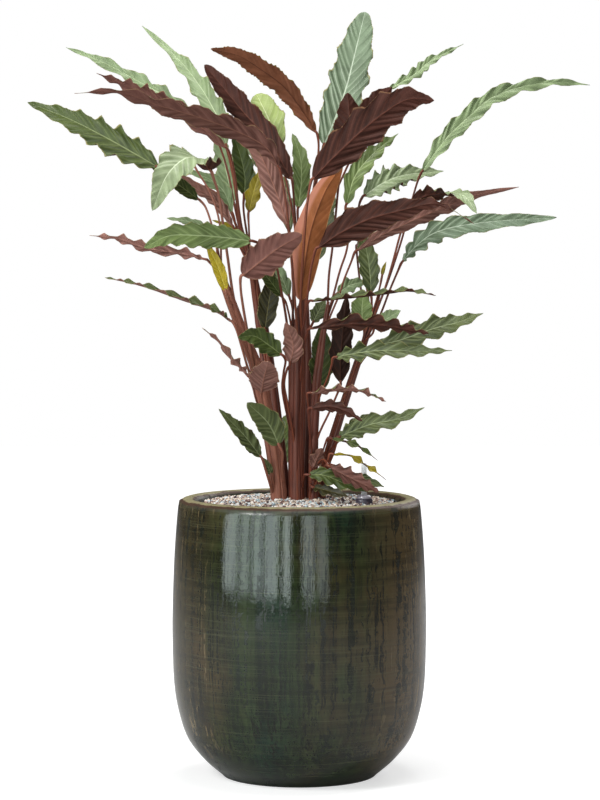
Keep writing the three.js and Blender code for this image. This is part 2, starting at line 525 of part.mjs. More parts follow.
// Frames along a midrib: position, direction, side and upward normal at each fraction. The
// frame is set at the middle of the leaf and carried both ways without twisting.
function frames(points, fractions, rollBase, rollTip) {
  const stations = fractions.map((s) => along(points, s));
  const middle = Math.floor(stations.length / 2);
  const normals = [];
  const t = stations[middle][1];
  const front = new THREE.Vector3(0, -1, 0).addScaledVector(t, t.y).normalize();
  const upward = t.clone().cross(front).normalize();
  if (upward.z < 0) upward.negate();
  const rollAt = (s) => radians(rollBase + (rollTip - rollBase) * s);
  const roll = rollAt(fractions[middle]);
  normals[middle] = upward.clone().multiplyScalar(Math.cos(roll)).addScaledVector(front, Math.sin(roll));
  const carry = (from, to) => {
    const direction = stations[to][1];
    const n = normals[from].clone().addScaledVector(direction, -normals[from].dot(direction));
    normals[to] = n.normalize();
  };
  for (let i = middle + 1; i < stations.length; i += 1) carry(i - 1, i);
  for (let i = middle - 1; i >= 0; i -= 1) carry(i + 1, i);
  const turn = Math.sign(front.dot(t.clone().cross(upward)) || 1);
  return stations.map(([position, direction], i) => {
    const extra = (rollAt(fractions[i]) - roll) * turn;
    const normal = normals[i].clone().applyAxisAngle(direction, extra);
    return [position, direction, normal.clone().cross(direction), normal];
  });
}

// Half width of a blade at fraction s, with its greatest width at the fraction widest.
function halfWidth(s, width, fullness, widest) {
  const power = Math.log(0.5) / Math.log(widest);
  const swell = Math.sin(Math.PI * Math.min(s, 1) ** power) ** fullness;
  const least = NECK_RADIUS * (1 - s) + TIP_HALF_WIDTH * s;
  return Math.max((width / 2) * swell, least);
}

// Blade: a thin folded sheet with waved edges, thicker along the midrib.
function bladeSolid(leaf) {
  const [, , , width, fullness, widest, rollBase, rollTip, fold, waves, height, midrib] = leaf;
  const points = midrib.map(place);
  const fractions = [0];
  for (let i = 0; i < 2 * waves; i += 1) fractions.push((i + 0.5) / (2 * waves));
  fractions.push(1);
  const lift = Math.sin(radians(fold));
  const spread = Math.cos(radians(fold));
  const placed = frames(points, fractions, rollBase, rollTip);
  const [, , middleSide, middleNormal] = placed[waves];
  const bulge = SCALLOP * (middleSide.z * middleNormal.z < 0 ? -1 : 1);
  const rings = placed.map(([at, , side, normal], i) => {
    const s = fractions[i];
    const half = halfWidth(s, width, fullness, widest);
    const swing = Math.sin(2 * Math.PI * waves * s) * Math.sin(Math.PI * s) ** 0.5;
    const rib = RIB_THICKNESS * (1 - s) + BLADE_THICKNESS * s;
    const point = (across, up) => at.clone().addScaledVector(side, across).addScaledVector(normal, up);
    const reach = half * spread * (1 + bulge * swing);
    const rightUp = half * lift + height * swing;
    const leftUp = half * lift - height * swing;
    const skin = BLADE_THICKNESS / 2;
    return [
      point(reach, rightUp - skin), point(reach, rightUp + skin), point(0, skin),
      point(-reach, leftUp + skin), point(-reach, leftUp - skin), point(0, skin - rib),
    ];
  });
  return loft(rings, [4, 5]);
}

// Stalk: from just below the blade down into its stem.
function stalkSolid(leaf) {
  const [name, stem, , , , , , , , , , midrib, via, joinHeight] = leaf;
  const [base, direction] = along(midrib.map(place), 0);
  const fused = name.startsWith("young");
  const start = base.clone().addScaledVector(direction, fused ? 2 : -JOINT_GAP);
  const points = [start, ...via.map(place), onStem(stem, joinHeight)];
  const side = Math.abs(direction.y) > 0.8 ? new THREE.Vector3(1, 0, 0) : new THREE.Vector3(0, 1, 0);
  const steps = points.length - 1;
  const rings = [];
  for (let i = 0; i <= steps; i += 1) {
    const [position, heading] = along(points, i / steps);
    const down = i === 0 ? direction.clone().negate() : heading;
    rings.push(ring(position, down, STALK_RADIUS + (0.8 * i) / steps, STALK_SIDES, side));
  }
  return loft(rings);
}

// Assembly

const plant = new THREE.Group();
plant.name = "potted_calathea";

plant.add(mesh("pot", pot, 0x27352c, 0.25));
plant.add(mesh("liner", liner, 0x1c1a1a, 0.6));

const capShape = turned([
  [GAUGE_CAP_RADIUS, GAUGE_CAP_BOTTOM], [GAUGE_CAP_RADIUS, GAUGE_CAP_TOP - 4],
  [GAUGE_CAP_RADIUS - 2, GAUGE_CAP_TOP - 1], [GAUGE_CAP_RADIUS - 5, GAUGE_CAP_TOP],
], 20, GAUGE_X, GAUGE_Y);
const capHole = turned([
  [GAUGE_CAP_RADIUS + 0.3, GAUGE_CAP_BOTTOM - 0.3], [GAUGE_CAP_RADIUS + 0.3, GAUGE_CAP_TOP + 10],
], 20, GAUGE_X, GAUGE_Y);
const tube = turned([
  [GAUGE_TUBE_RADIUS, GAUGE_CAP_TOP + 0.3], [GAUGE_TUBE_RADIUS, GAUGE_TUBE_TOP - 1],
  [GAUGE_TUBE_RADIUS - 1, GAUGE_TUBE_TOP],
], 12, GAUGE_X, GAUGE_Y);

let grit = substrate().subtract(capHole);
for (let stem = 0; stem < STEMS.length; stem += 1) {
  grit = grit.subtract(stemSolid(stem, HOLE_GAP, true));
}
plant.add(mesh("substrate", grit, 0xbfb8b2, 0.95));
plant.add(mesh("gauge_cap", capShape, 0x3a3440, 0.4));
plant.add(mesh("gauge_tube", tube, 0xd8dcdc, 0.1));

STEMS.forEach(([name], stem) => {
  let solid = stemSolid(stem);
  for (const leaf of LEAVES.filter((row) => row[1] === stem)) {
    solid = solid.add(stalkSolid(leaf));
    if (leaf[0].startsWith("young")) solid = solid.add(bladeSolid(leaf));
  }
  plant.add(mesh(name, solid, 0x7a4035, 0.5));
});

for (const leaf of LEAVES.filter((row) => !row[0].startsWith("young"))) {
  plant.add(mesh(`blade_${leaf[0]}`, bladeSolid(leaf), COLOURS[leaf[2]], 0.55));
}

export default plant;
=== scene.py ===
import math
import random

import bpy
import numpy as np
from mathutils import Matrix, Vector

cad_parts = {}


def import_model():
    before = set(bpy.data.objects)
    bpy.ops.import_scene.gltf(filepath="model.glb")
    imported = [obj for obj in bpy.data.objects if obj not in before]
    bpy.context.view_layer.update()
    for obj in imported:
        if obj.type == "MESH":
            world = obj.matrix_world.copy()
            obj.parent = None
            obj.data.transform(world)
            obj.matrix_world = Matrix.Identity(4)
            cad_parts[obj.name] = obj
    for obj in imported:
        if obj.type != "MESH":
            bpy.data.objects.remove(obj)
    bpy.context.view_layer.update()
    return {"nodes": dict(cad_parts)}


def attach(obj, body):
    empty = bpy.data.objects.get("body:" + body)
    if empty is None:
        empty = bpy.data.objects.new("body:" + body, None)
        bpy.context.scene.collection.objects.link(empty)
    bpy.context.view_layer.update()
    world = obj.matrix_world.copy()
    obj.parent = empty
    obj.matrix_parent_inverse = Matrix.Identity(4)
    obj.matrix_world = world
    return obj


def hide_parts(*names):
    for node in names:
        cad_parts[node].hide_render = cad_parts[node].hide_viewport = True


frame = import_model()
scene = bpy.context.scene
MM = 0.001

# Measures of the solids that this script dresses

POT_PROFILE = [
    (112, 0), (115, 3), (140, 25), (163.6, 56), (177, 97), (183, 137), (185, 190), (185, 240),
    (182, 322), (176.5, 392), (173, 401), (165, 405), (155, 403.5), (150, 396), (162, 160),
    (138, 25),
]
LINER_PROFILE = [
    (118, 25.4), (143, 85.4), (143, 399), (140, 399), (140, 86.4), (116, 28.4),
]
GRIT_RADIUS = 139.6
GRIT_EDGE_Z = 396
GRIT_HEAP = 5
GRIT_BUMP = 1.2
GAUGE_X = 93
GAUGE_Y = -50
GAUGE_CAP_RADIUS = 12.5
GAUGE_CAP_BOTTOM = 380
GAUGE_CAP_TOP = 413
GAUGE_TUBE_RADIUS = 4.2
GAUGE_TUBE_TOP = 459
GAUGE_SIDES = 48
GAUGE_TUBE_SIDES = 40

# Where the front view is read from, and how the crown opens out in depth

EYE_DISTANCE = 4000
EYE_HEIGHT = 755
AIM = (1, 0, 547)
LENS = 123.93
SENSOR_WIDTH = 36
CLIP = (0.1, 100)
FOOT_HEIGHT = 412
SPREAD_RISE = 340
CROWN_SPREAD = 0.85

# Leaf blades

NECK_RADIUS = 2.3
TIP_HALF_WIDTH = 0.35
SCALLOP = 0.17
FRILL_SCALLOP = 0.07
NARROW_HALF_WIDTH = 14
PLEAT_DEPTH = 0.26
LEAST_SLOPE, MOST_SLOPE = 0.8, 1.7
HALF_SKIN = 0.3
RIB_DEPTH = 1.5
RIB_SPREAD = 1.3
STATION_PITCH = 2.3
FEWEST_STATIONS = 24
MOST_STATIONS = 130
MIDRIB_TO_MARGIN = [
    0, 0.035, 0.08, 0.14, 0.21, 0.29, 0.37, 0.46, 0.55, 0.64, 0.72, 0.8, 0.87, 0.93, 0.97, 1,
]

# Stems: each has a core painted dark as the shade between its stalks, sheaths round it, and its
# leaves' stalks outside

CORE_SHARE = 0.62
CORE_SIDES = 16
SHEATHS = 4
SHEATH_SIDES = 18
SHEATH_TWIST = 0.003
SHEATH_SHARES = (0.44, 0.56)
STALK_SIDES = 10
STALK_PITCH = 6
STALK_SUNK = 14
STALK_RADII = (1.9, 3.4)
STALK_STEP = 40
SWELLING = 0.5
SWELLING_AT = 8
SWELLING_REACH = 9
TAPER_HEIGHT = 80
SPREADING_ROUNDS = 80
CORE_SUNK = 20
LEANING_STEM = 0

# Plant tables, as in the part's source
#
# Stems: name, then the points of the sheathed stem as seen from the front, from the
# granulate upwards: across, depth, height, radius.
STEMS = [
    ["stem_left_lean",
     [[-30, -16, 412, 12], [-34, -18, 450, 11.5], [-42, -22, 500, 11], [-54, -28, 560, 10.5],
      [-64, -34, 600, 10], [-76, -40, 630, 9], [-88, -44, 660, 8.5], [-103, -49, 700, 8.5],
      [-118, -52, 740, 8.5], [-130, -53, 770, 5]]],
    ["stem_left_back",
     [[-25, 17, 412, 12], [-32, 19, 480, 12], [-40, 19, 550, 11.5], [-49, 18, 620, 11],
      [-58, 15, 680, 10], [-68, 10, 740, 8]]],
    ["stem_centre_front",
     [[-4, -10, 412, 12.5], [-5, -10, 500, 12], [-5, -10, 600, 12.5], [-3, -8, 650, 10.5],
      [0, -6, 684, 6]]],
    ["stem_centre_back",
     [[9, 19, 412, 10], [11, 20, 500, 10], [10, 22, 600, 9], [6, 24, 700, 8], [0, 26, 760, 5]]],
    ["stem_right_inner",
     [[20, -15, 412, 7], [21, -17, 500, 7], [26, -20, 580, 6.5], [34, -20, 640, 6],
      [42, -20, 690, 4]]],
    ["stem_right_outer",
     [[31, 5, 412, 7.5], [37, 5, 450, 7.5], [52, 4, 500, 7], [66, 4, 545, 6.5], [84, 2, 600, 6],
      [104, 0, 660, 5.5], [116, -2, 700, 4]]],
]

# Leaves: name, stem, colour, width, fullness, share of the length at which the leaf is
# widest, roll at the base and at the tip in degrees (0 has the upper face up, 90 has it
# towards the front, -90 has the underside there), fold, waves, wave height, points of
# the midrib from base to tip, points of the stalk downwards, and the height at which the
# stalk joins its stem. Points are across, depth and height as seen from the front. A name
# that starts with "young" is fused to its stem.
LEAVES = [
    ["left_01", 1, "deep", 44, 0.7, 0.41, 78, 78, 18, 7, 3.8,
     [[-205, 16, 885], [-240, 22, 905], [-285, 32, 930], [-335, 42, 955], [-393, 55, 978]],
     [[-150, 14, 862], [-110, 10, 838], [-88, 10, 790]], 735],
    ["left_02", 0, "pale", 60, 0.65, 0.36, 20, 85, 10, 6, 2.5,
     [[-129, -62, 880], [-142, -72, 895], [-165, -88, 897], [-192, -105, 872], [-213, -118, 822]],
     [[-124, -61, 868], [-117, -58, 845], [-111, -56, 805], [-104, -53, 755]], 690],
    ["young_03", 0, "brown", 8, 0.9, 0.41, 40, 40, 10, 3, 2.5,
     [[-155, -44, 890], [-168, -46, 905], [-188, -50, 917]],
     [[-146, -44, 876], [-128, -45, 845], [-115, -47, 800]], 730],
    ["left_04", 0, "deep", 22, 0.9, 0.41, 70, 70, 15, 5, 2.5,
     [[-146, -34, 838], [-165, -44, 852], [-188, -58, 868], [-215, -70, 885]],
     [[-136, -35, 827], [-129, -40, 808], [-120, -44, 775]], 722],
    ["left_05", 1, "dusty", 18, 0.8, 0.41, -72, -72, 12, 5, 2,
     [[-97, -16, 800], [-118, -20, 833], [-145, -25, 853], [-178, -32, 878]],
     [[-92, -12, 780]], 735],
    ["young_06", 1, "sage", 22, 0.9, 0.41, 75, 75, 12, 3, 2,
     [[-97, 2, 818], [-110, 0, 850], [-132, -3, 868], [-168, -8, 882]],
     [[-88, 6, 785]], 730],
    ["left_07", 1, "sage", 22, 0.9, 0.41, 58, 82, 15, 5, 4,
     [[-150, 24, 960], [-190, 28, 985], [-232, 33, 1008], [-288, 40, 1038], [-337, 46, 1057]],
     [[-120, 24, 925], [-104, 24, 880], [-94, 20, 830], [-84, 14, 785]], 735],
    ["left_08", 1, "plum", 28, 0.85, 0.41, -62, -62, 12, 7, 4,
     [[-106, -6, 912], [-158, -10, 955], [-205, -16, 980], [-245, -22, 1000], [-293, -30, 1020]],
     [[-98, -4, 895], [-93, -2, 870], [-87, 0, 820], [-80, 4, 780]], 735],
    ["left_09", 2, "plum", 33, 1.05, 0.36, -72, -60, 12, 8, 4,
     [[-30, -22, 885], [-48, -28, 913], [-87, -36, 935], [-143, -50, 956], [-200, -62, 973],
      [-262, -76, 993], [-325, -88, 991]],
     [[-25, -20, 865], [-19, -19, 830], [-15, -18, 795], [-11, -16, 745], [-7, -14, 700]], 640],
    ["young_10", 2, "dusty", 32, 0.85, 0.41, -80, -80, 10, 3, 2,
     [[-17, -7, 800], [-34, -5, 850], [-58, -4, 905], [-92, -4, 948]],
     [[-13, -8, 770], [-9, -8, 720]], 645],
    ["left_11", 3, "maroon", 39, 0.5, 0.45, -76, -76, 12, 6, 2.5,
     [[-12, 16, 868], [-43, 28, 922], [-79, 46, 962], [-108, 62, 997], [-137, 78, 1032]],
     [[-8, 16, 840], [-5, 18, 800]], 735],
    ["left_12", 3, "brown", 32, 0.62, 0.48, -80, -80, 14, 6, 1.8,
     [[24, 2, 935], [5, -2, 965], [-22, -8, 1000], [-55, -16, 1025], [-88, -24, 1045],
      [-128, -32, 1055]],
     [[28, 4, 915], [26, 8, 890], [20, 12, 850], [12, 16, 800]], 735],
    ["left_13", 1, "sage", 33, 0.8, 0.41, 72, 88, 15, 6, 3.6,
     [[-106, 16, 916], [-113, 20, 945], [-123, 26, 966], [-143, 38, 1000], [-172, 54, 1037],
      [-227, 76, 1088]],
     [[-101, 13, 895], [-94, 10, 860], [-86, 10, 800]], 735],
    ["left_14", 1, "sage", 32, 0.8, 0.41, 80, 80, 12, 5, 3,
     [[-95, 46, 835], [-104, 54, 870], [-112, 64, 905], [-120, 76, 942]],
     [[-84, 36, 800]], 725],
    ["left_15", 3, "sage", 17, 0.85, 0.41, 70, 70, 15, 7, 2.5,
     [[-33, 22, 840], [-54, 28, 885], [-78, 35, 918], [-108, 44, 952], [-136, 54, 978],
      [-157, 62, 996]],
     [[-24, 22, 818], [-14, 24, 785]], 725],
    ["young_16", 3, "lime", 47, 0.5, 0.58, 85, 85, 10, 3, 2,
     [[-30, 58, 905], [-42, 66, 948], [-62, 78, 990]],
     [[-20, 52, 870], [-8, 38, 810]], 735],
    ["left_17", 3, "fresh", 28, 0.75, 0.41, 84, 84, 12, 5, 2.2,
     [[-2, 34, 825], [3, 40, 865], [1, 48, 900], [-10, 56, 933]],
     [[-2, 32, 805]], 745],
    ["left_18", 1, "deep", 33, 0.75, 0.41, 82, 82, 12, 5, 2.2,
     [[-80, 25, 845], [-79, 24, 870], [-85, 24, 900], [-96, 24, 932]],
     [[-80, 24, 815]], 730],
    ["young_19", 1, "yellow", 22, 0.8, 0.41, 80, 80, 10, 3, 2,
     [[-73, 14, 820], [-66, 14, 850], [-56, 16, 882]],
     [[-73, 12, 795]], 725],
    ["young_20", 1, "yellow", 9, 0.8, 0.41, 60, 60, 10, 3, 1,
     [[-88, 4, 788], [-104, 2, 800], [-126, 2, 808]],
     [[-80, 6, 770]], 730],
    ["young_21", 0, "sage", 12, 0.8, 0.41, 60, 60, 10, 3, 1.5,
     [[-132, -46, 798], [-160, -50, 806], [-192, -54, 811]],
     [[-122, -46, 782]], 725],
    ["left_22", 2, "fresh", 36, 0.6, 0.41, 80, 80, 10, 7, 2.5,
     [[-70, -66, 778], [-110, -70, 783], [-150, -76, 786], [-190, -82, 785], [-225, -88, 768]],
     [[-56, -60, 772], [-36, -50, 750], [-27, -42, 710], [-19, -28, 665]], 600],
    ["left_23", 0, "plum", 50, 0.6, 0.41, -80, -80, 8, 5, 2,
     [[-82, -78, 728], [-55, -82, 749], [-30, -88, 768], [4, -96, 787]],
     [[-85, -72, 708], [-82, -64, 685], [-77, -54, 655]], 570],
    ["young_24", 0, "gold", 18, 0.6, 0.41, 75, 75, 8, 3, 0.8,
     [[-107, -66, 706], [-118, -67, 740], [-134, -68, 773]],
     [[-103, -60, 696]], 680],
    ["left_25", 0, "dusty", 18, 0.85, 0.41, -48, -48, 14, 6, 3.2,
     [[-139, -56, 752], [-170, -54, 760], [-223, -50, 768], [-262, -48, 781], [-304, -46, 786]],
     [[-132, -55, 749]], 730],
    ["left_26", 0, "dusty", 22, 0.85, 0.41, 12, 12, 25, 7, 3.4,
     [[-100, -54, 662], [-122, -56, 676], [-172, -60, 693], [-230, -64, 713], [-282, -68, 725]],
     [[-91, -53, 648], [-82, -48, 618], [-73, -42, 588]], 555],
    ["left_27", 0, "dusty", 20, 0.85, 0.41, -25, -25, 18, 5, 3,
     [[-74, -52, 581], [-84, -53, 592], [-100, -55, 607], [-118, -57, 632], [-141, -60, 652]],
     [[-67, -50, 564], [-60, -42, 540]], 505],
    ["left_28", 2, "deep", 32, 0.7, 0.41, 75, 75, 12, 5, 2.5,
     [[-26, -62, 613], [-46, -64, 628], [-66, -68, 640], [-89, -74, 638]],
     [[-20, -58, 603], [-23, -50, 585], [-24, -38, 558]], 500],
    ["left_29", 2, "dusty", 30, 0.7, 0.41, -78, -78, 10, 4, 2,
     [[-13, -46, 601], [-9, -48, 628], [-20, -54, 660]],
     [[-18, -44, 591], [-22, -40, 570], [-18, -34, 545]], 485],
    ["left_30", 0, "dusty", 44, 0.6, 0.41, -86, -86, 10, 4, 1.8,
     [[-55, -50, 559], [-52, -78, 578], [-45, -112, 603]],
     [[-53, -42, 540]], 490],
    ["left_31", 0, "green", 38, 0.6, 0.41, 80, 80, 10, 4, 1.8,
     [[-30, -64, 482], [-46, -70, 514], [-76, -82, 543]],
     [[-24, -60, 468], [-25, -46, 450]], 425],
    ["left_32", 0, "green", 25, 0.8, 0.41, 70, 70, 12, 5, 4.8,
     [[-56, -44, 464], [-80, -54, 495], [-117, -68, 534]],
     [[-49, -38, 445], [-41, -28, 420]], 408],
    ["young_33", 0, "green", 12, 0.7, 0.41, 80, 80, 8, 3, 1,
     [[-41, -30, 438], [-46, -33, 450], [-53, -36, 463]],
     [[-38, -26, 426]], 412],

    ["right_01", 3, "silver", 58, 0.45, 0.5, 84, 84, 10, 6, 2.2,
     [[36, 46, 917], [53, 58, 958], [68, 74, 1000], [82, 92, 1055], [95, 108, 1108]],
     [[30, 42, 890], [20, 36, 840], [10, 30, 780]], 715],
    ["young_02", 4, "maroon", 44, 0.6, 0.41, -80, -80, 10, 3, 3,
     [[62, 18, 905], [72, 22, 945], [70, 24, 992]],
     [[60, 14, 885], [56, 10, 850], [53, 6, 818], [48, 3, 768], [43, -4, 728]], 680],
    ["young_03b", 3, "maroon", 36, 0.7, 0.41, -76, -76, 12, 3, 2.5,
     [[86, 28, 942], [110, 34, 974], [134, 42, 1000]],
     [[74, 26, 915], [60, 25, 880], [46, 24, 835], [28, 24, 780]], 725],
    ["right_03", 3, "sage", 18, 0.85, 0.41, 72, 72, 15, 6, 3,
     [[128, 54, 996], [167, 68, 1019], [190, 80, 1038], [237, 104, 1062]],
     [[112, 50, 972], [88, 46, 925], [60, 42, 865], [28, 34, 795]], 740],
    ["right_04", 2, "maroon", 55, 0.75, 0.41, -78, -78, 10, 6, 2.8,
     [[20, -22, 868], [57, -34, 906], [108, -50, 952], [155, -66, 982], [195, -80, 981]],
     [[14, -22, 850], [10, -23, 820], [7, -23, 780], [4, -21, 735], [2, -18, 690]], 645],
    ["centre_01", 2, "orange", 46, 0.6, 0.41, -84, -84, 14, 3, 1,
     [[2, -4, 692], [9, -4, 750], [19, -3, 800], [38, -2, 850], [62, 0, 888]],
     [[0, -5, 682]], 672],
    ["right_05", 5, "sage", 27, 0.8, 0.41, 66, 88, 15, 7, 3.4,
     [[178, 6, 878], [197, 10, 906], [218, 16, 932], [245, 22, 957], [277, 30, 984], [324, 40, 1001],
      [374, 50, 1007], [420, 58, 1003]],
     [[170, 4, 860], [160, 2, 825], [150, 0, 785], [139, -2, 750], [127, -4, 715]], 675],
    ["right_06", 4, "fresh", 29, 0.85, 0.41, 72, 72, 15, 5, 3.5,
     [[68, 10, 830], [81, 20, 872], [109, 38, 906], [143, 60, 933]],
     [[68, 4, 812], [71, -2, 785], [68, -8, 762], [59, -12, 735], [51, -15, 705]], 665],
    ["right_07", 5, "pale", 38, 0.75, 0.41, 68, 68, 15, 7, 4,
     [[94, 20, 843], [120, 30, 861], [152, 44, 873], [209, 68, 879]],
     [[86, 20, 825], [86, 21, 785], [93, 20, 735], [100, 15, 695]], 645],
    ["right_08", 5, "pale", 30, 0.75, 0.41, -76, 72, 10, 6, 3.5,
     [[162, -6, 834], [188, -17, 845], [217, -32, 847], [240, -45, 842], [257, -56, 818]],
     [[156, -4, 815], [147, -4, 790], [135, -6, 745], [124, -6, 708]], 668],
    ["right_09", 2, "maroon", 49, 2.0, 0.27, -74, -70, 10, 7, 2.5,
     [[27, -34, 768], [62, -42, 791], [102, -52, 810], [146, -64, 822], [190, -76, 832],
      [216, -84, 826], [253, -94, 803]],
     [[20, -32, 752], [16, -30, 733], [12, -27, 700]], 635],
    ["right_10", 4, "dusty", 25, 0.8, 0.41, -70, -70, 12, 6, 2,
     [[84, -22, 764], [122, -24, 788], [165, -24, 808], [200, -20, 823], [231, -14, 835],
      [259, -4, 845], [318, 6, 856]],
     [[75, -20, 747], [65, -19, 722], [58, -19, 700]], 655],
    ["right_11", 5, "silver", 31, 0.6, 0.5, 60, 96, 15, 7, 3.8,
     [[150, -20, 748], [165, -27, 766], [191, -36, 787], [228, -46, 799], [290, -58, 807],
      [373, -74, 812]],
     [[142, -17, 732], [131, -14, 706], [117, -8, 670]], 635],
    ["right_12", 5, "green", 30, 0.7, 0.41, 84, 84, 10, 5, 2.2,
     [[104, 2, 703], [102, 2, 735], [97, 3, 765], [88, 4, 792]],
     [[105, 1, 690]], 655],
    ["young_13", 5, "yellow", 6, 0.8, 0.41, 80, 80, 8, 3, 0.5,
     [[120, -6, 727], [122, -6, 737], [126, -7, 748]],
     [[117, -6, 712]], 690],
    ["right_14", 2, "maroon", 22, 0.85, 0.41, 6, 6, 25, 6, 3.5,
     [[18, -50, 691], [66, -58, 695], [117, -68, 700], [158, -78, 705], [198, -90, 699]],
     [[11, -46, 681], [7, -36, 660]], 610],
    ["right_15", 2, "maroon", 28, 0.75, 0.41, -38, -38, 18, 6, 4.5,
     [[18, -54, 651], [73, -66, 658], [123, -82, 656], [155, -94, 650], [188, -106, 644]],
     [[11, -50, 643], [7, -40, 622]], 575],
    ["right_16", 5, "green", 34, 0.8, 0.41, 68, 68, 14, 6, 4.2,
     [[112, -24, 627], [146, -30, 634], [195, -38, 651], [230, -44, 660], [267, -52, 673]],
     [[102, -18, 618]], 592],
    ["right_17", 4, "green", 25, 0.85, 0.41, 64, 64, 14, 7, 4.2,
     [[53, -50, 609], [76, -54, 614], [118, -62, 619], [175, -72, 618], [222, -82, 619]],
     [[47, -45, 598], [41, -36, 578]], 545],
    ["young_18", 5, "sage", 22, 0.8, 0.41, 75, 75, 10, 3, 2,
     [[112, -22, 655], [130, -30, 667], [147, -36, 677]],
     [[106, -14, 643]], 628],
    ["young_19b", 5, "fresh", 32, 0.7, 0.41, 82, 82, 8, 3, 2,
     [[92, -22, 660], [91, -24, 682], [94, -26, 704]],
     [[94, -14, 642]], 620],
    # Painted shade: this leaf takes a darker copy of maroon for the shadow it hangs in behind the
    # stems
    ["right_20", 4, "umber", 33, 0.75, 0.41, -84, -84, 10, 5, 2,
     [[60, -28, 573], [60, -30, 610], [64, -32, 655], [69, -34, 698]],
     [[56, -26, 558], [44, -24, 530]], 490],
    ["young_21b", 3, "deep", 36, 0.6, 0.45, 82, 82, 10, 3, 2,
     [[29, 8, 560], [33, 10, 604], [32, 14, 655]],
     [[26, 8, 545]], 505],
    ["young_22", 4, "sage", 22, 0.75, 0.41, 70, 70, 12, 3, 2.5,
     [[56, -2, 702], [74, 4, 714], [98, 10, 720]],
     [[48, -8, 688]], 655],
    ["young_23", 2, "green", 22, 0.75, 0.41, 78, 78, 10, 3, 2,
     [[20, -4, 660], [28, -2, 676], [38, 0, 693]],
     [[14, -6, 648]], 625],
    ["young_24b", 1, "olive", 30, 0.7, 0.41, 84, 84, 10, 3, 2,
     [[-50, -8, 650], [-44, -9, 692], [-37, -10, 735]],
     [[-48, -5, 635]], 600],
    ["young_25", 2, "deep", 20, 0.8, 0.41, 72, 72, 10, 3, 2,
     [[-26, -18, 698], [-44, -24, 722], [-62, -30, 742]],
     [[-18, -13, 684]], 645],
    ["young_26", 2, "sage", 20, 0.8, 0.41, 75, 75, 10, 3, 2,
     [[-15, 5, 698], [-26, 7, 726], [-42, 9, 752]],
     [[-10, 0, 680]], 640],
    ["right_27", 4, "dusty", 22, 0.8, 0.41, -18, -18, 18, 5, 3.8,
     [[16, -50, 557], [59, -58, 561], [91, -66, 559], [126, -76, 545]],
     [[12, -46, 550], [14, -36, 530]], 485],
    ["right_28", 4, "maroon", 19, 0.8, 0.41, -62, -62, 12, 5, 2.2,
     [[17, -60, 535], [45, -66, 538], [68, -74, 531], [92, -84, 516]],
     [[13, -56, 528], [14, -42, 508]], 465],
    ["right_29", 5, "green", 30, 0.8, 0.41, 66, 66, 14, 6, 3.5,
     [[58, -40, 493], [76, -44, 501], [106, -52, 512], [145, -62, 520], [182, -72, 536]],
     [[53, -34, 480], [46, -20, 460]], 430],
    ["young_30", 5, "green", 20, 0.8, 0.41, 72, 72, 10, 3, 2,
     [[64, -16, 498], [86, -20, 513], [109, -24, 527]],
     [[58, -10, 488]], 465],
    ["young_31", 4, "deep", 11, 0.9, 0.41, 30, 30, 10, 3, 3,
     [[46, -52, 491], [72, -58, 485], [92, -64, 476], [114, -70, 459]],
     [[38, -46, 484], [32, -32, 465]], 440],
    ["young_32", 4, "yellow", 10, 0.9, 0.41, 30, 30, 10, 3, 3,
     [[48, -56, 468], [74, -68, 466], [92, -76, 455], [108, -84, 445], [127, -92, 430]],
     [[42, -52, 460], [34, -38, 440]], 422],
    ["right_33", 4, "plum", 26, 0.75, 0.41, -60, -60, 12, 5, 3,
     [[44, -66, 450], [66, -76, 438], [92, -86, 425], [116, -94, 413]],
     [[40, -58, 456], [33, -44, 460], [25, -28, 448]], 425],
    ["young_34", 4, "green", 15, 0.8, 0.41, 70, 70, 12, 3, 2,
     [[76, -56, 438], [98, -61, 430], [124, -68, 420]],
     [[62, -50, 446], [46, -40, 453], [32, -28, 446]], 425],
    ["right_35", 2, "deep", 25, 0.8, 0.41, 66, 66, 14, 5, 3,
     [[14, -48, 438], [37, -54, 437], [66, -58, 425], [100, -64, 413]],
     [[7, -42, 436]], 418],
    ["young_36", 4, "olive", 17, 0.75, 0.41, 58, 58, 12, 3, 2.5,
     [[20, -46, 420], [44, -63, 414], [72, -80, 406]],
     [[18, -34, 423]], 412],
    ["young_37", 4, "dusty", 20, 0.6, 0.41, -75, -75, 10, 3, 2.5,
     [[20, -34, 448], [26, -38, 462], [33, -44, 477]],
     [[20, -28, 440]], 430],

    ["back_01", 1, "fresh", 28, 0.75, 0.41, 84, 84, 12, 5, 3,
     [[-98, 44, 785], [-130, 75, 790], [-170, 112, 790], [-195, 135, 786]],
     [[-84, 38, 765]], 715],
    ["young_b2", 3, "green", 28, 0.75, 0.41, 84, 84, 12, 3, 3,
     [[-14, 50, 792], [-24, 85, 845], [-38, 135, 895]],
     [[-8, 44, 770]], 725],
    ["back_03", 3, "green", 34, 0.7, 0.41, 84, 84, 12, 5, 3,
     [[26, 52, 750], [36, 90, 812], [48, 145, 878]],
     [[18, 42, 725]], 690],
    ["back_04", 5, "green", 30, 0.75, 0.41, 84, 84, 12, 5, 3,
     [[84, 38, 770], [110, 78, 795], [150, 140, 808]],
     [[86, 26, 735]], 640],
    ["young_b5", 1, "deep", 30, 0.7, 0.41, 84, 84, 12, 3, 2.5,
     [[-20, 56, 455], [-22, 100, 500], [-14, 160, 530]],
     [[-22, 42, 435]], 414],
]


# Shader groups and finishes


def colour(red, green, blue):
    """Linear colour of a display colour given in 0 to 255."""
    def linear(value):
        value /= 255
        return value / 12.92 if value <= 0.04045 else ((value + 0.055) / 1.055) ** 2.4
    return (linear(red), linear(green), linear(blue), 1)


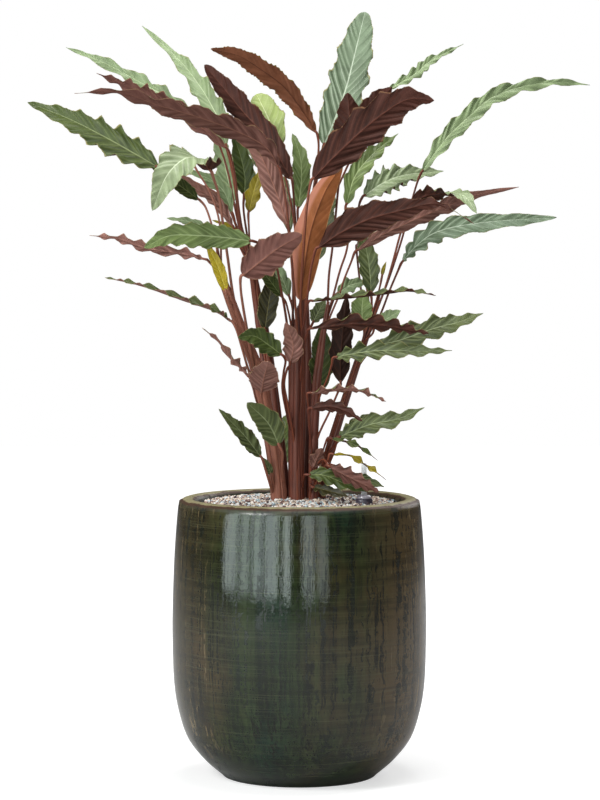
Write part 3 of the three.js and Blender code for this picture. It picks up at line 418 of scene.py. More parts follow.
class Nodes:
    """Adds nodes to a tree. Most calls return the new node's output socket."""

    def __init__(self, tree):
        self.tree = tree

    def add(self, kind, inputs=(), output=0, **settings):
        node = self.tree.nodes.new(kind)
        for key, value in settings.items():
            setattr(node, key, value)
        for socket, value in dict(inputs).items():
            self.feed(node.inputs[socket], value)
        return node.outputs[output]

    def feed(self, socket, value):
        if isinstance(value, bpy.types.NodeSocket):
            self.tree.links.new(value, socket)
        else:
            socket.default_value = value

    def dress(self, sockets, **values):
        """Feeds sockets by their names, in which _ stands for a space."""
        for name, value in values.items():
            self.feed(sockets[name.replace("_", " ")], value)

    def math(self, operation, first, second=0.0, third=0.0, clamp=False):
        inputs = {0: first, 1: second, 2: third}
        return self.add("ShaderNodeMath", inputs, operation=operation, use_clamp=clamp)

    def times(self, first, second, added=None):
        """first times second, plus added where it is given."""
        if added is None:
            return self.math("MULTIPLY", first, second)
        return self.math("MULTIPLY_ADD", first, second, added)

    def ramp(self, value, low, high, to_low=0.0, to_high=1.0):
        inputs = {"Value": value, "From Min": low, "From Max": high, "To Min": to_low,
                  "To Max": to_high}
        return self.add("ShaderNodeMapRange", inputs, interpolation_type="SMOOTHSTEP")

    def mix(self, share, first, second, blend="MIX"):
        """A share of the second colour over the first."""
        inputs = {0: share, 6: first, 7: second}
        return self.add("ShaderNodeMix", inputs, 2, data_type="RGBA", blend_type=blend)

    def layered(self, shade, *layers):
        """shade with layers over it, each a share and a colour."""
        for share, tone in layers:
            shade = self.mix(share, shade, tone)
        return shade

    def noise(self, vector, scale, detail=2.0, roughness=0.5):
        inputs = {"Vector": vector, "Scale": scale, "Detail": detail, "Roughness": roughness}
        return self.add("ShaderNodeTexNoise", inputs)

    def spot(self):
        """Object coordinates."""
        return self.add("ShaderNodeTexCoord", output="Object")

    def stretched(self, x=1, y=1, z=1):
        """Object coordinates, scaled along each axis."""
        return self.add("ShaderNodeMapping", {"Vector": self.spot(), "Scale": (x, y, z)})

    def split(self, vector):
        """The three values of a vector."""
        node = self.tree.nodes.new("ShaderNodeSeparateXYZ")
        self.feed(node.inputs[0], vector)
        return node.outputs

    def joined(self, x, y, z):
        """A vector of three values."""
        return self.add("ShaderNodeCombineXYZ", {0: x, 1: y, 2: z})

    def map_axes(self, name):
        """The two values of a named UV map."""
        first, second, _ = self.split(self.add("ShaderNodeUVMap", uv_map=name))
        return first, second

    def bump(self, height, strength, distance):
        inputs = {"Height": height, "Strength": strength, "Distance": distance}
        return self.add("ShaderNodeBump", inputs, output="Normal")


def new_group(name, inputs, outputs):
    """A shader node group with named sockets: its tree, its inputs and its output node."""
    kinds = {"colour": "NodeSocketColor", "value": "NodeSocketFloat"}
    tree = bpy.data.node_groups.new(name, "ShaderNodeTree")
    for socket, kind in inputs.items():
        tree.interface.new_socket(socket, in_out="INPUT", socket_type=kinds[kind])
    for socket, kind in outputs.items():
        tree.interface.new_socket(socket, in_out="OUTPUT", socket_type=kinds[kind])
    return tree, tree.nodes.new("NodeGroupInput").outputs, tree.nodes.new("NodeGroupOutput").inputs


def make_leaf_veins():
    """Side veins, midrib and margin of one face of a leaf, read from its "veins" map: U counts
    the side veins and V crosses the blade. The "run" map gives the way from base to tip.
    Bands of painted shade darken the valleys between the pleats."""
    tree, given, out = new_group(
        "leaf_veins",
        {"Ground": "colour", "Groove": "colour", "Vein": "colour", "Midrib": "colour",
         "Margin": "colour", "Vein Strength": "value", "Band": "value"},
        {"Color": "colour", "Height": "value", "Crest": "value"},
    )
    n = Nodes(tree)
    count, across = n.map_axes("veins")
    run, own = n.map_axes("run")
    off_centre = n.math("ABSOLUTE", n.times(across, 2.0, -1.0))
    uneven = n.noise(n.stretched(), 30.0, 3.0)
    turn = n.times(n.times(uneven, 0.3, count), 2 * math.pi)
    wave = n.math("COSINE", turn)
    crest = n.ramp(wave, 0.8, 1.0)
    hair = n.math("COSINE", n.times(turn, 4.0))
    hairs = n.ramp(hair, 0.35, 1.0)
    cloud = n.noise(n.stretched(), 38.0, 4.0, 0.6)
    fleck = n.noise(n.stretched(), 380.0, 3.0, 0.6)
    fade = n.ramp(run, 0.4, 0.85, 1.0, 0.25)
    # Painted shade: the groove colour laid in the pleat valleys, away from the vein crests
    shade_band = n.times(n.ramp(wave, 0.6, -1.0), n.ramp(uneven, 0.3, 0.6, 0.35, 1.0))
    shade_band = n.times(n.times(shade_band, given["Band"]), fade)
    shade = n.mix(shade_band, given["Ground"], given["Groove"])
    dark = n.mix(1.0, shade, (0.55, 0.55, 0.53, 1), "MULTIPLY")
    shade = n.mix(n.ramp(cloud, 0.3, 0.62, 0.6, 0.0), shade, dark)
    line = n.times(n.ramp(off_centre, 1.0, 0.75, 0.3, 1.0), given["Vein Strength"])
    line = n.times(line, fade)
    half_rib = n.times(run, -0.05, 0.08)
    rib = n.ramp(off_centre, half_rib, n.times(half_rib, 0.4))
    edge = n.ramp(n.times(fleck, 0.04, off_centre), 0.955, 1.0)
    shade = n.layered(
        shade,
        (n.times(crest, line), given["Vein"]),
        (n.times(hairs, n.times(line, 0.22)), given["Vein"]),
        (n.ramp(fleck, 0.5, 0.8, 0.0, 0.08), given["Vein"]),
        (n.times(rib, 0.7), given["Midrib"]),
        (n.times(edge, 0.75), given["Margin"]),
    )
    dimmed = n.mix(1.0, shade, (0.66, 0.7, 0.62, 1), "MULTIPLY")
    shade = n.mix(n.ramp(own, 0.0, 1.0, 0.0, 0.3), shade, dimmed)
    height = n.times(hair, 0.08, n.times(crest, 0.3))
    n.dress(out, Color=shade, Height=n.times(height, fade), Crest=crest)
    return tree


def make_lengthwise_streaks():
    """Uneven streaks along Z, coarse and fine, from 0 to 1."""
    tree, given, out = new_group(
        "lengthwise_streaks", {"Fineness": "value", "Length": "value", "Wobble": "value"},
        {"Streak": "value"},
    )
    n = Nodes(tree)
    spot = n.spot()
    scale = n.joined(given["Fineness"], given["Fineness"], given["Length"])
    vector = n.add("ShaderNodeVectorMath", {0: spot, 1: scale}, operation="MULTIPLY")
    sway = n.times(n.noise(spot, 50.0, 3.0), given["Wobble"])
    vector = n.add("ShaderNodeVectorMath", {0: vector, 1: sway}, operation="ADD")
    coarse = n.noise(vector, 1.0, 3.0, 0.6)
    fine = n.noise(vector, 3.1, 3.0, 0.6)
    both = n.times(fine, 0.5, n.times(coarse, 0.5))
    n.feed(out["Streak"], n.ramp(both, 0.3, 0.7))
    return tree


def make_stalk_lines():
    """Fine lines along a stalk, from its "round" map, a circle around the stalk, and its "run"
    map, the way down it and a number of its own. Its second output marks patches of painted
    highlight."""
    tree, given, out = new_group(
        "stalk_lines", {"Lines": "value", "Stretch": "value"}, {"Line": "value", "Patch": "value"},
    )
    n = Nodes(tree)
    x, y = n.map_axes("round")
    run, own = n.map_axes("run")
    x = n.times(x, given["Lines"], n.times(own, 40.0))
    y = n.times(y, given["Lines"])
    vector = n.joined(x, y, n.times(run, given["Stretch"]))
    fine = n.noise(vector, 1.0, 3.0, 0.6)
    highlight = n.noise(vector, 0.35, 2.0)
    n.dress(out, Line=n.ramp(fine, 0.3, 0.7), Patch=n.ramp(highlight, 0.35, 0.65))
    return tree


leaf_veins = make_leaf_veins()
lengthwise_streaks = make_lengthwise_streaks()
stalk_lines = make_stalk_lines()


def new_finish(name):
    """A material, its node helper and its shader's inputs."""
    material = bpy.data.materials.new(name)
    material.use_nodes = True
    tree = material.node_tree
    return material, Nodes(tree), tree.nodes["Principled BSDF"].inputs


def placed(nodes, group, **inputs):
    """A group placed in a material, with its own values. Returns its outputs."""
    node = nodes.tree.nodes.new("ShaderNodeGroup")
    node.node_tree = group
    nodes.dress(node.inputs, **inputs)
    return node.outputs


def leaf_face(name, shades, strength, shade_band, roughness, shine, strip=None):
    """One face of a leaf. shades are ground, painted groove shade, vein, midrib and margin, and
    strip is the colour of a broad strip along one margin. The band strength sets how strongly
    the painted groove shade shows."""
    material, n, shader = new_finish(name)
    ground, groove_shade, vein, midrib, margin = (colour(*shade) for shade in shades)
    veins = placed(n, leaf_veins, Ground=ground, Groove=groove_shade, Vein=vein, Midrib=midrib,
                   Margin=margin, Vein_Strength=strength, Band=shade_band)
    shade = veins["Color"]
    if strip:
        across = n.map_axes("veins")[1]
        shade = n.mix(n.ramp(across, 0.3, 0.16, 0.0, 0.85), shade, colour(*strip))
    n.dress(shader, Base_Color=shade, Normal=n.bump(veins["Height"], 0.5, 0.0006),
            Roughness=n.ramp(veins["Crest"], 0.0, 1.0, roughness, roughness - 0.08),
            Specular_IOR_Level=shine)
    return material


# Upper faces: ground, painted groove shade and vein colours, and the strength of the veins and of the
# painted shade bands
UPPER_SHADES = {
    "green": ((97, 106, 64), (42, 51, 24), (146, 156, 112), 0.4, 0.65),
    "fresh": ((122, 140, 84), (74, 90, 44), (172, 186, 134), 0.4, 0.5),
    "sage": ((140, 158, 116), (100, 118, 76), (176, 190, 150), 0.25, 0.5),
    "pale": ((156, 170, 132), (112, 128, 86), (204, 215, 182), 0.4, 0.6),
    "silver": ((122, 139, 113), (70, 88, 60), (184, 196, 174), 0.5, 0.75),
    "deep": ((76, 88, 40), (36, 46, 16), (122, 132, 82), 0.3, 0.6),
    "olive": ((50, 46, 18), (28, 26, 10), (98, 90, 46), 0.3, 0.5),
    "lime": ((172, 188, 116), (130, 150, 78), (222, 230, 178), 0.45, 0.5),
    "yellow": ((138, 122, 18), (106, 94, 12), (176, 160, 50), 0.25, 0.3),
    "gold": ((216, 190, 50), (180, 154, 32), (232, 214, 104), 0.25, 0.3),
}
UPPER_MARGIN = (156, 146, 96)

# Under faces: ground, painted groove shade, vein, midrib and margin colours, then the strength of the
# veins and of the painted shade bands
UNDER_SHADES = {
    "maroon": ((78, 44, 36), (38, 21, 17), (112, 74, 63), (104, 60, 48), (122, 88, 62), 0.25, 0.6),
    # A darker copy of maroon, painted shade for a leaf that hangs in shadow
    "umber": ((50, 27, 19), (26, 15, 11), (80, 50, 40), (72, 42, 32), (120, 92, 64), 0.25, 0.6),
    "plum": ((118, 78, 70), (72, 43, 38), (146, 106, 96), (144, 96, 80), (150, 118, 88), 0.25, 0.5),
    "dusty": ((148, 104, 94), (98, 62, 55), (182, 141, 129), (168, 116, 98), (172, 138, 110),
              0.4, 0.7),
    "brown": ((122, 74, 52), (88, 51, 35), (144, 98, 72), (58, 30, 20), (130, 116, 50),
              0.12, 0.3),
    "orange": ((166, 100, 60), (134, 77, 47), (186, 128, 90), (84, 40, 25), (222, 176, 120),
               0.12, 0.2),
}
PALE_STRIPS = {"orange": (206, 138, 116)}

# How deep the pleats and the teeth of a tint's leaves are, next to the usual ones
PLEATS = {"yellow": 0.5, "gold": 0.5, "brown": 0.35, "orange": 0.15, "silver": 1.25, "dusty": 0.8}
TEETH = {"brown": 3.0, "orange": 0, "yellow": 0.5, "gold": 0.5}


def upper_face(tint):
    ground, groove_shade, vein, strength, shade_band = UPPER_SHADES[tint]
    midrib = [min(value + 14, 255) for value in vein]
    shades = (ground, groove_shade, vein, midrib, UPPER_MARGIN)
    return leaf_face("leaf_upper_" + tint, shades, strength, shade_band, 0.42, 0.2)


def under_face(tint):
    *shades, strength, shade_band = UNDER_SHADES[tint]
    return leaf_face("leaf_under_" + tint, shades, strength, shade_band, 0.55, 0.1, PALE_STRIPS.get(tint))


UPPER = {tint: upper_face(tint) for tint in UPPER_SHADES}
UNDER = {tint: under_face(tint) for tint in UNDER_SHADES}


def stem_skin(name, lines, dark, light, highlight, bump):
    """Red-brown skin with lengthwise lines and patches of painted highlight."""
    material, n, shader = new_finish(name)
    drawn = placed(n, stalk_lines, Lines=lines, Stretch=0.5)
    shade = n.mix(drawn["Line"], colour(*dark), colour(*light))
    # Painted highlight: a lighter colour laid over the skin in noise patches
    shade = n.mix(n.times(drawn["Patch"], 0.45), shade, colour(*highlight))
    n.dress(shader, Base_Color=shade, Normal=n.bump(drawn["Line"], bump, 0.0005),
            Roughness=0.38, Specular_IOR_Level=0.2)
    return material


def make_painted_shade_core():
    """Painted shade: the inside of a stem, near black, for the shade between its stalks."""
    material, n, shader = new_finish("painted_shade_core")
    streak = placed(n, lengthwise_streaks, Fineness=300.0, Length=10.0)["Streak"]
    n.dress(shader, Base_Color=n.mix(streak, colour(22, 12, 11), colour(50, 28, 24)),
            Normal=n.bump(streak, 0.4, 0.0006), Roughness=0.7)
    return material


def make_glaze():
    """Dark green running glaze: clouds of teal and brown, wavy dark runs and drips that are less
    shiny, brush lines round the pot, browner flanks with tan runs, painted light that lightens
    the right flank, and a khaki rim with a broken brown edge."""
    material, n, shader = new_finish("running_glaze")
    runs = placed(n, lengthwise_streaks, Fineness=50.0, Length=0.6, Wobble=0.4)["Streak"]
    fine_runs = placed(n, lengthwise_streaks, Fineness=110.0, Length=1.2, Wobble=1.2)["Streak"]
    tan_runs = placed(n, lengthwise_streaks, Fineness=70.0, Length=1.6, Wobble=0.8)["Streak"]
    drips = placed(n, lengthwise_streaks, Fineness=24.0, Length=0.3, Wobble=0.7)["Streak"]
    cloud = n.noise(n.stretched(1, 1, 0.6), 7.0, 4.0, 0.6)
    brush = n.noise(n.stretched(6, 6, 620), 1.0, 4.0, 0.65)
    rings = n.noise(n.stretched(5, 5, 90), 1.0, 3.0, 0.6)
    dapple = n.noise(n.stretched(), 60.0, 3.0, 0.6)
    east, _, height = n.split(n.spot())
    flank = n.ramp(n.math("ABSOLUTE", east), 0.085, 0.165)
    brown = n.math("MULTIPLY_ADD", flank, 0.6, n.ramp(cloud, 0.5, 0.68, 0.0, 0.5), clamp=True)
    drip = n.ramp(drips, 0.3, 0.22)
    tan = n.times(n.ramp(tan_runs, 0.7, 0.95, 0.0, 0.7), flank)
    rim = n.times(dapple, 0.005, height)
    shade = n.layered(
        colour(9, 17, 11),
        (runs, colour(48, 60, 33)),
        (n.ramp(cloud, 0.52, 0.3, 0.0, 0.85), colour(20, 46, 36)),
        (brown, colour(72, 57, 36)),
        # Painted light: a lighter tan over the right flank, where the lamps fall off
        (n.ramp(east, 0.06, 0.16, 0.0, 0.6), colour(98, 78, 50)),
        (n.ramp(fine_runs, 0.4, 0.2, 0.0, 0.85), colour(8, 11, 7)),
        (n.times(drip, 0.75), colour(9, 18, 14)),
        (tan, colour(150, 130, 96)),
        (n.ramp(brush, 0.5, 0.72, 0.0, 0.42), colour(82, 84, 62)),
        (n.ramp(rings, 0.52, 0.36, 0.0, 0.38), colour(16, 19, 11)),
        (n.ramp(rim, 0.4015, 0.4045), colour(72, 46, 30)),
        (n.ramp(rim, 0.4052, 0.4064), colour(142, 134, 98)),
    )
    dull = n.times(drip, 0.16, n.ramp(fine_runs, 0.4, 0.2, 0.0, 0.16))
    relief = n.times(fine_runs, 1.0, n.times(brush, 0.1))
    for height_map, share in ((dapple, 0.15), (rings, 0.2)):
        relief = n.times(height_map, share, relief)
    n.dress(shader, Base_Color=shade, Normal=n.bump(relief, 0.045, 0.0014),
            Roughness=n.math("ADD", dull, n.ramp(height, 0.392, 0.4, 0.05, 0.5)),
            Specular_IOR_Level=0.5)
    return material


def mottled_finish(name, scale, detail, dark, light, **values):
    """A finish whose colour wanders finely between dark and light, with values for the shader's
    other sockets. Returns the finish, its node helper, its shader and its mottling."""
    material, n, shader = new_finish(name)
    mottle = n.noise(n.stretched(), scale, detail)
    n.dress(shader, Base_Color=n.mix(mottle, colour(*dark), colour(*light)), **values)
    return material, n, shader, mottle


def make_insert_plastic():
    material, n, shader, mottle = mottled_finish(
        "insert_plastic", 900.0, 2.0, (28, 26, 26), (46, 43, 42), Roughness=0.6)
    n.feed(shader["Normal"], n.bump(mottle, 0.3, 0.0002))
    return material


def make_grain_stone():
    """Loose grains, each with its own colour from the mesh, finely pitted."""
    material, n, shader = new_finish("grain_stone")
    own = n.add("ShaderNodeAttribute", attribute_name="grain")
    pit = n.noise(n.stretched(), 1500.0, 3.0, 0.7)
    dark = n.mix(1.0, own, (0.6, 0.57, 0.55, 1), "MULTIPLY")
    n.dress(shader, Base_Color=n.mix(n.ramp(pit, 0.6, 0.35), own, dark),
            Normal=n.bump(pit, 0.6, 0.0004), Roughness=0.85)
    return material


def make_bed_stone():
    """The bed under the loose grains: cells of the same grit in shade."""
    material, n, shader = new_finish("bed_stone")
    cell = n.tree.nodes.new("ShaderNodeTexVoronoi")
    n.dress(cell.inputs, Vector=n.stretched(), Scale=230.0)
    own = n.add("ShaderNodeSeparateColor", {0: cell.outputs["Color"]})
    shade = n.mix(n.ramp(own, 0.2, 0.8), colour(38, 28, 27), colour(96, 82, 74))
    n.dress(shader, Base_Color=shade, Normal=n.bump(cell.outputs["Distance"], 0.8, -0.002),
            Roughness=0.9)
    return material


def make_gauge_plastic():
    material, n, shader, mottle = mottled_finish(
        "gauge_plastic", 500.0, 3.0, (50, 44, 56), (80, 72, 86))
    n.feed(shader["Roughness"], n.ramp(mottle, 0.3, 0.7, 0.25, 0.45))
    return material


def make_gauge_milky():
    return mottled_finish("gauge_milky", 300.0, 2.0, (150, 142, 158), (206, 200, 210),
                          Roughness=0.15, Coat_Weight=0.5)[0]


def make_clear_tube():
    return mottled_finish("clear_tube", 200.0, 2.0, (232, 238, 240), (248, 250, 250),
                          Roughness=0.08, Alpha=0.35)[0]


def make_pale_floor():
    """White sweep: seen by the camera it brightens to white away from the pot."""
    material, n, shader = new_finish("pale_floor")
    tone = n.noise(n.stretched(), 2.0, 2.0)
    away = n.add("ShaderNodeVectorMath", {0: n.spot()}, output="Value", operation="LENGTH")
    seen = n.add("ShaderNodeLightPath", output="Is Camera Ray")
    glow = n.times(seen, n.ramp(away, 0.2, 1.6, 0.6, 1.0))
    n.dress(shader, Base_Color=n.mix(tone, (0.5, 0.5, 0.5, 1), (0.54, 0.54, 0.54, 1)),
            Emission_Strength=glow, Emission_Color=(1, 1, 1, 1), Roughness=0.9,
            Specular_IOR_Level=0.1)
    return material


# The last colour of each skin is a painted highlight, laid in patches.
stalk_skin = stem_skin("stalk_skin", 2.2, (58, 26, 21), (124, 66, 52), (158, 88, 60), 0.5)
sheath_skin = stem_skin("sheath_skin", 1.2, (66, 34, 28), (112, 62, 50), (134, 78, 62), 0.2)
leaning_skin = stem_skin("leaning_skin", 1.0, (104, 60, 48), (150, 96, 78), (170, 112, 92), 0.2)
painted_shade_core = make_painted_shade_core()

# Making pieces


def make_piece(name, points, faces, materials, chosen=None, maps=None, smooth=True):
    """A mesh piece from points in millimetres. chosen is a material number for each face, and
    maps holds pairs of values for each point."""
    mesh = bpy.data.meshes.new(name)
    mesh.from_pydata((np.asarray(points) * MM).tolist(), [], faces)
    for material in materials:
        mesh.materials.append(material)
    if chosen is not None:
        mesh.polygons.foreach_set("material_index", chosen)
    if maps:
        corners = np.zeros(len(mesh.loops), dtype=np.int32)
        mesh.loops.foreach_get("vertex_index", corners)
        for map_name, pairs in maps.items():
            layer = mesh.uv_layers.new(name=map_name)
            layer.uv.foreach_set("vector", np.asarray(pairs, np.float32)[corners].ravel())
    mesh.polygons.foreach_set("use_smooth", [smooth] * len(mesh.polygons))
    mesh.update()
    piece = bpy.data.objects.new(name, mesh)
    scene.collection.objects.link(piece)
    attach(piece, "root")
    return piece


def grid_faces(rows, columns, closed=False, start=0):
    """Four-sided faces between rows of points. closed joins the last column to the first."""
    faces = []
    for i in range(rows - 1):
        for j in range(columns if closed else columns - 1):
            a = start + i * columns + j
            b = start + i * columns + (j + 1) % columns
            faces.append((a, b, b + columns, a + columns))
    return faces


def sheet_faces(rows, columns, start=0, flip=False):
    """Triangles between rows of points, with the same diagonals whichever way they face."""
    faces = []
    for a, b, c, d in grid_faces(rows, columns, start=start):
        faces += [(c, b, a), (d, c, a)] if flip else [(a, b, c), (a, c, d)]
    return faces


def capped_faces(rows, sides):
    """Faces of a closed round body: its wall and a flat cap at each end."""
    faces = grid_faces(rows, sides, closed=True)
    faces.append(tuple(range(sides))[::-1])
    faces.append(tuple((rows - 1) * sides + j for j in range(sides)))
    return faces


def round_steps(sides):
    """Cosines and sines of even steps round a circle."""
    angles = np.arange(sides) * 2 * math.pi / sides
    return np.cos(angles), np.sin(angles)


def turned(profile, sides, centre=(0, 0)):
    """Points and faces of a closed solid turned about a vertical axis."""
    cosines, sines = round_steps(sides)
    profile = np.asarray(profile, float)
    radius = profile[:, 0][:, None]
    x = centre[0] + radius * cosines
    y = centre[1] + radius * sines
    z = np.repeat(profile[:, 1][:, None], sides, 1)
    return np.stack([x, y, z], -1).reshape(-1, 3), capped_faces(len(profile), sides)


# Paths and leaf frames, by the same rules as in the part's source


def place(row):
    """A point read in the front view, moved along its line of sight to its depth."""
    across, depth, height = row[:3]
    rise = min(max((height - FOOT_HEIGHT) / SPREAD_RISE, 0), 1)
    y = depth * (1 + CROWN_SPREAD * rise)
    k = 1 + y / EYE_DISTANCE
    return np.array([across * k, y, EYE_HEIGHT + (height - EYE_HEIGHT) * k])


def unit(vectors):
    return vectors / np.linalg.norm(vectors, axis=-1, keepdims=True)


def along(points, shares):
    """Positions and directions at shares of a smooth curve through the points."""
    points = np.asarray(points, float)
    last = len(points) - 1
    knots = np.vstack([2 * points[0] - points[1], points, 2 * points[-1] - points[-2]])
    at = np.minimum(np.asarray(shares, float) * last, last - 1e-9)
    i = at.astype(int)
    t = (at - i)[:, None]
    a, b, c, d = knots[i], knots[i + 1], knots[i + 2], knots[i + 3]
    m0, m1 = (c - a) / 2, (d - b) / 2
    cubic = 2 * b - 2 * c + m0 + m1
    square = -3 * b + 3 * c - 2 * m0 - m1
    position = ((cubic * t + square) * t + m0) * t + b
    return position, unit((3 * cubic * t + 2 * square) * t + m0)


def ways(points):
    """The way along a path from its start to each of its points."""
    return np.concatenate([[0], np.cumsum(np.linalg.norm(np.diff(points, axis=0), axis=1))])


def path_length(points):
    return float(ways(points)[-1])


def turned_about(vector, axis, angle):
    """vector turned about a unit axis."""
    return (vector * math.cos(angle) + np.cross(axis, vector) * math.sin(angle)
            + axis * axis.dot(vector) * (1 - math.cos(angle)))


def leaf_frames(midrib, shares, waves, roll_base, roll_tip):
    """Position, side and upward normal at each share of a midrib."""
    middle_share = 0.5 + 0.25 / waves
    at, heading = along(midrib, shares)
    _, (t,) = along(midrib, [middle_share])
    front = np.array([0, -1, 0]) + t * t[1]
    front /= np.linalg.norm(front)
    upward = unit(np.cross(t, front))
    if upward[2] < 0:
        upward = -upward
    rolls = np.radians(roll_base + (roll_tip - roll_base) * np.asarray(shares))
    roll = math.radians(roll_base + (roll_tip - roll_base) * middle_share)
    first = upward * math.cos(roll) + front * math.sin(roll)
    normals = np.zeros_like(at)
    start = int(np.searchsorted(shares, middle_share))
    for stations in (range(start, len(shares)), range(start - 1, -1, -1)):
        carried = first
        for i in stations:
            carried = unit(carried - heading[i] * carried.dot(heading[i]))
            normals[i] = carried
    turn = 1 if front.dot(np.cross(t, upward)) >= 0 else -1
    for i, extra in enumerate((rolls - roll) * turn):
        normals[i] = turned_about(normals[i], heading[i], extra)
    return at, np.cross(normals, heading), normals


# Leaf blades


def crests(turns):
    """A wave from -1 to 1 with one narrow crest for each turn."""
    return 1 - 2 * np.abs(np.sin(math.pi * turns)) ** 0.85


def closed_faces(rows, columns):
    """Faces of a thin closed body between an upper and an under grid of points, and how many of
    them are on the upper side."""
    total = rows * columns
    faces = sheet_faces(rows, columns, flip=True)
    upper_count = len(faces)
    faces += sheet_faces(rows, columns, start=total)
    for i in range(rows - 1):
        a, b = i * columns, (i + 1) * columns
        faces.append((a, a + total, b + total, b))
        c, d = a + columns - 1, b + columns - 1
        faces.append((c, d, d + total, c + total))
    end = (rows - 1) * columns
    for j in range(columns - 1):
        faces.append((j, j + 1, j + 1 + total, j + total))
        faces.append((end + j, end + j + total, end + j + 1 + total, end + j + 1))
    return faces, upper_count


def blade(row, number):
    """A thin two-faced blade with pleats along its side veins and waved margins."""
    (name, _, tint, width, fullness, widest, roll_base, roll_tip, fold, waves, wave_height,
     midrib_row) = row[:12]
    draw = random.Random(900 + number)
    midrib = [place(point) for point in midrib_row]
    length = path_length(along(midrib, np.linspace(0, 1, 60))[0])
    rows = int(min(max(length / STATION_PITCH, FEWEST_STATIONS), MOST_STATIONS))
    shares = np.linspace(0, 1, rows)
    at, side, normal = leaf_frames(midrib, shares, waves, roll_base, roll_tip)
    reach = ways(at)
    half_steps = np.array(MIDRIB_TO_MARGIN)

    # s runs from base to tip, v from one margin to the other, and w from midrib to margin
    v = np.concatenate([-half_steps[:0:-1], half_steps])[None, :]
    w = np.abs(v)
    s = shares[:, None]
    swell = np.sin(math.pi * s ** (math.log(0.5) / math.log(widest))).clip(0) ** fullness
    half = np.maximum(width / 2 * swell, NECK_RADIUS * (1 - s) ** 3 * 0.6 + TIP_HALF_WIDTH)

    # Side veins: how far each runs forward on its way out, how far apart they are, and how
    # many have passed at a point
    slope = min(max(2.3 - 3.6 * width / length, LEAST_SLOPE), MOST_SLOPE)
    spacing = length / (6 + 0.03 * length)
    vein = (reach[:, None] - w * half * slope * (1 + 0.3 * w)) / spacing
    vein = vein + 0.22 * np.sin(vein * 1.9 + draw.uniform(0, 6) + (v > 0) * 2.2)

    # Waves of the margins, in step with the side veins that reach them, and a finer frill
    lag = half * slope * (1 - w) / length
    later = (s + lag).clip(0, 1)
    drift = draw.uniform(-0.2, 0.2) * np.sin(math.pi * s)
    turns = waves * later + drift
    peaked = np.where(v > 0, crests(turns - 0.25), crests(turns - 0.75))
    swing = 0.4 * peaked + 0.6 * np.sign(v) * np.sin(2 * math.pi * turns)
    uneven = 1 + 0.25 * np.sin(2 * math.pi * (1.3 * s + draw.random()))
    swing = swing * uneven * np.sin(math.pi * later) ** 0.5
    frill = np.sin(4 * math.pi * turns + draw.uniform(0, 6) + (v > 0) * 1.8)
    frill = frill * (0.6 + 0.4 * np.sin(7 * s + draw.uniform(0, 6))) * np.sin(math.pi * s) ** 0.5

    # Fold, pleats and waves, as ways across and up from the midrib
    spread, lift = math.cos(math.radians(fold)), math.sin(math.radians(fold))
    pleat = np.cos(2 * math.pi * vein) * (1 + 0.4 * np.sin(vein * 1.3 + draw.uniform(0, 6)))
    pleat_height = PLEAT_DEPTH * spacing / (1 + slope ** 2) * PLEATS.get(tint, 1)
    pleat_height = pleat_height * (0.12 + 0.88 * w) * swell
    centre = rows // 2
    bulge = SCALLOP * np.sign(v) * (-1 if side[centre, 2] * normal[centre, 2] < 0 else 1)
    waved = min(wave_height / 4, 1) * (NARROW_HALF_WIDTH / half).clip(1, 1.8)
    bulge = bulge * waved
    across = v * half * spread * (1 + bulge * swing * w ** 2)
    across = across * (1 + 0.03 * crests(2 * vein) * w ** 8 * TEETH.get(tint, 1))
    across = across * (1 + FRILL_SCALLOP * waved * frill * w ** 2)
    up = half * lift * np.sqrt(w ** 2 + 0.003) + wave_height * swing * w ** 1.6
    up = up + pleat * pleat_height + 0.5 * wave_height * frill * w ** 2.5

    # Upper and under face, a skin apart, with the midrib standing out below
    rib = RIB_DEPTH * (1 - s * 5 / 6) * np.exp(-(w * half / RIB_SPREAD) ** 2)
    skin = HALF_SKIN * (1 - 0.6 * w ** 6)
    axis = at[:, None, :] + side[:, None, :] * across[..., None]
    top = axis + normal[:, None, :] * (up + skin - 0.35 * rib)[..., None]
    under = axis + normal[:, None, :] * (up - skin - rib)[..., None]
    columns = v.shape[1]
    points = np.concatenate([top.reshape(-1, 3), under.reshape(-1, 3)])
    faces, upper_count = closed_faces(rows, columns)
    chosen = [0] * upper_count + [1] * (len(faces) - upper_count)
    pairs = {"veins": (vein, np.repeat(v / 2 + 0.5, rows, 0)),
             "run": (np.repeat(s, columns, 1), np.full((rows, columns), draw.random()))}
    maps = {key: np.tile(np.stack(pair, -1).reshape(-1, 2), (2, 1)) for key, pair in pairs.items()}
    materials = [UPPER.get(tint, UPPER["green"]), UNDER.get(tint, UNDER["maroon"])]
    piece = make_piece("leaf_" + name, points, faces, materials, chosen, maps)
    if not name.startswith("young"):
        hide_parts("blade_" + name)
    return piece


for leaf_number, leaf_row in enumerate(LEAVES):
    blade(leaf_row, leaf_number)

# Stalks and sheathed stems


def tube(centres, headings, radii, sides, side=(0, 1, 0), own=0.0):
    """Points, faces and maps of a closed tube."""
    rows = len(centres)
    across = np.asarray(side, float)[None, :]
    across = unit(across - headings * (headings @ across[0])[:, None])
    third = np.cross(headings, across)
    cosines, sines = round_steps(sides)
    reach = np.asarray(radii)[:, None]
    points = (centres[:, None, :] + across[:, None, :] * (reach * cosines)[..., None]
              + third[:, None, :] * (reach * sines)[..., None])
    circle = np.tile(np.stack([cosines, sines], -1), (rows, 1))
    run = np.column_stack([np.repeat(ways(centres) * 0.01, sides), np.full(rows * sides, own)])
    return points.reshape(-1, 3), capped_faces(rows, sides), circle, run


def stem_top(number):
    return place(STEMS[number][1][-1])[2]


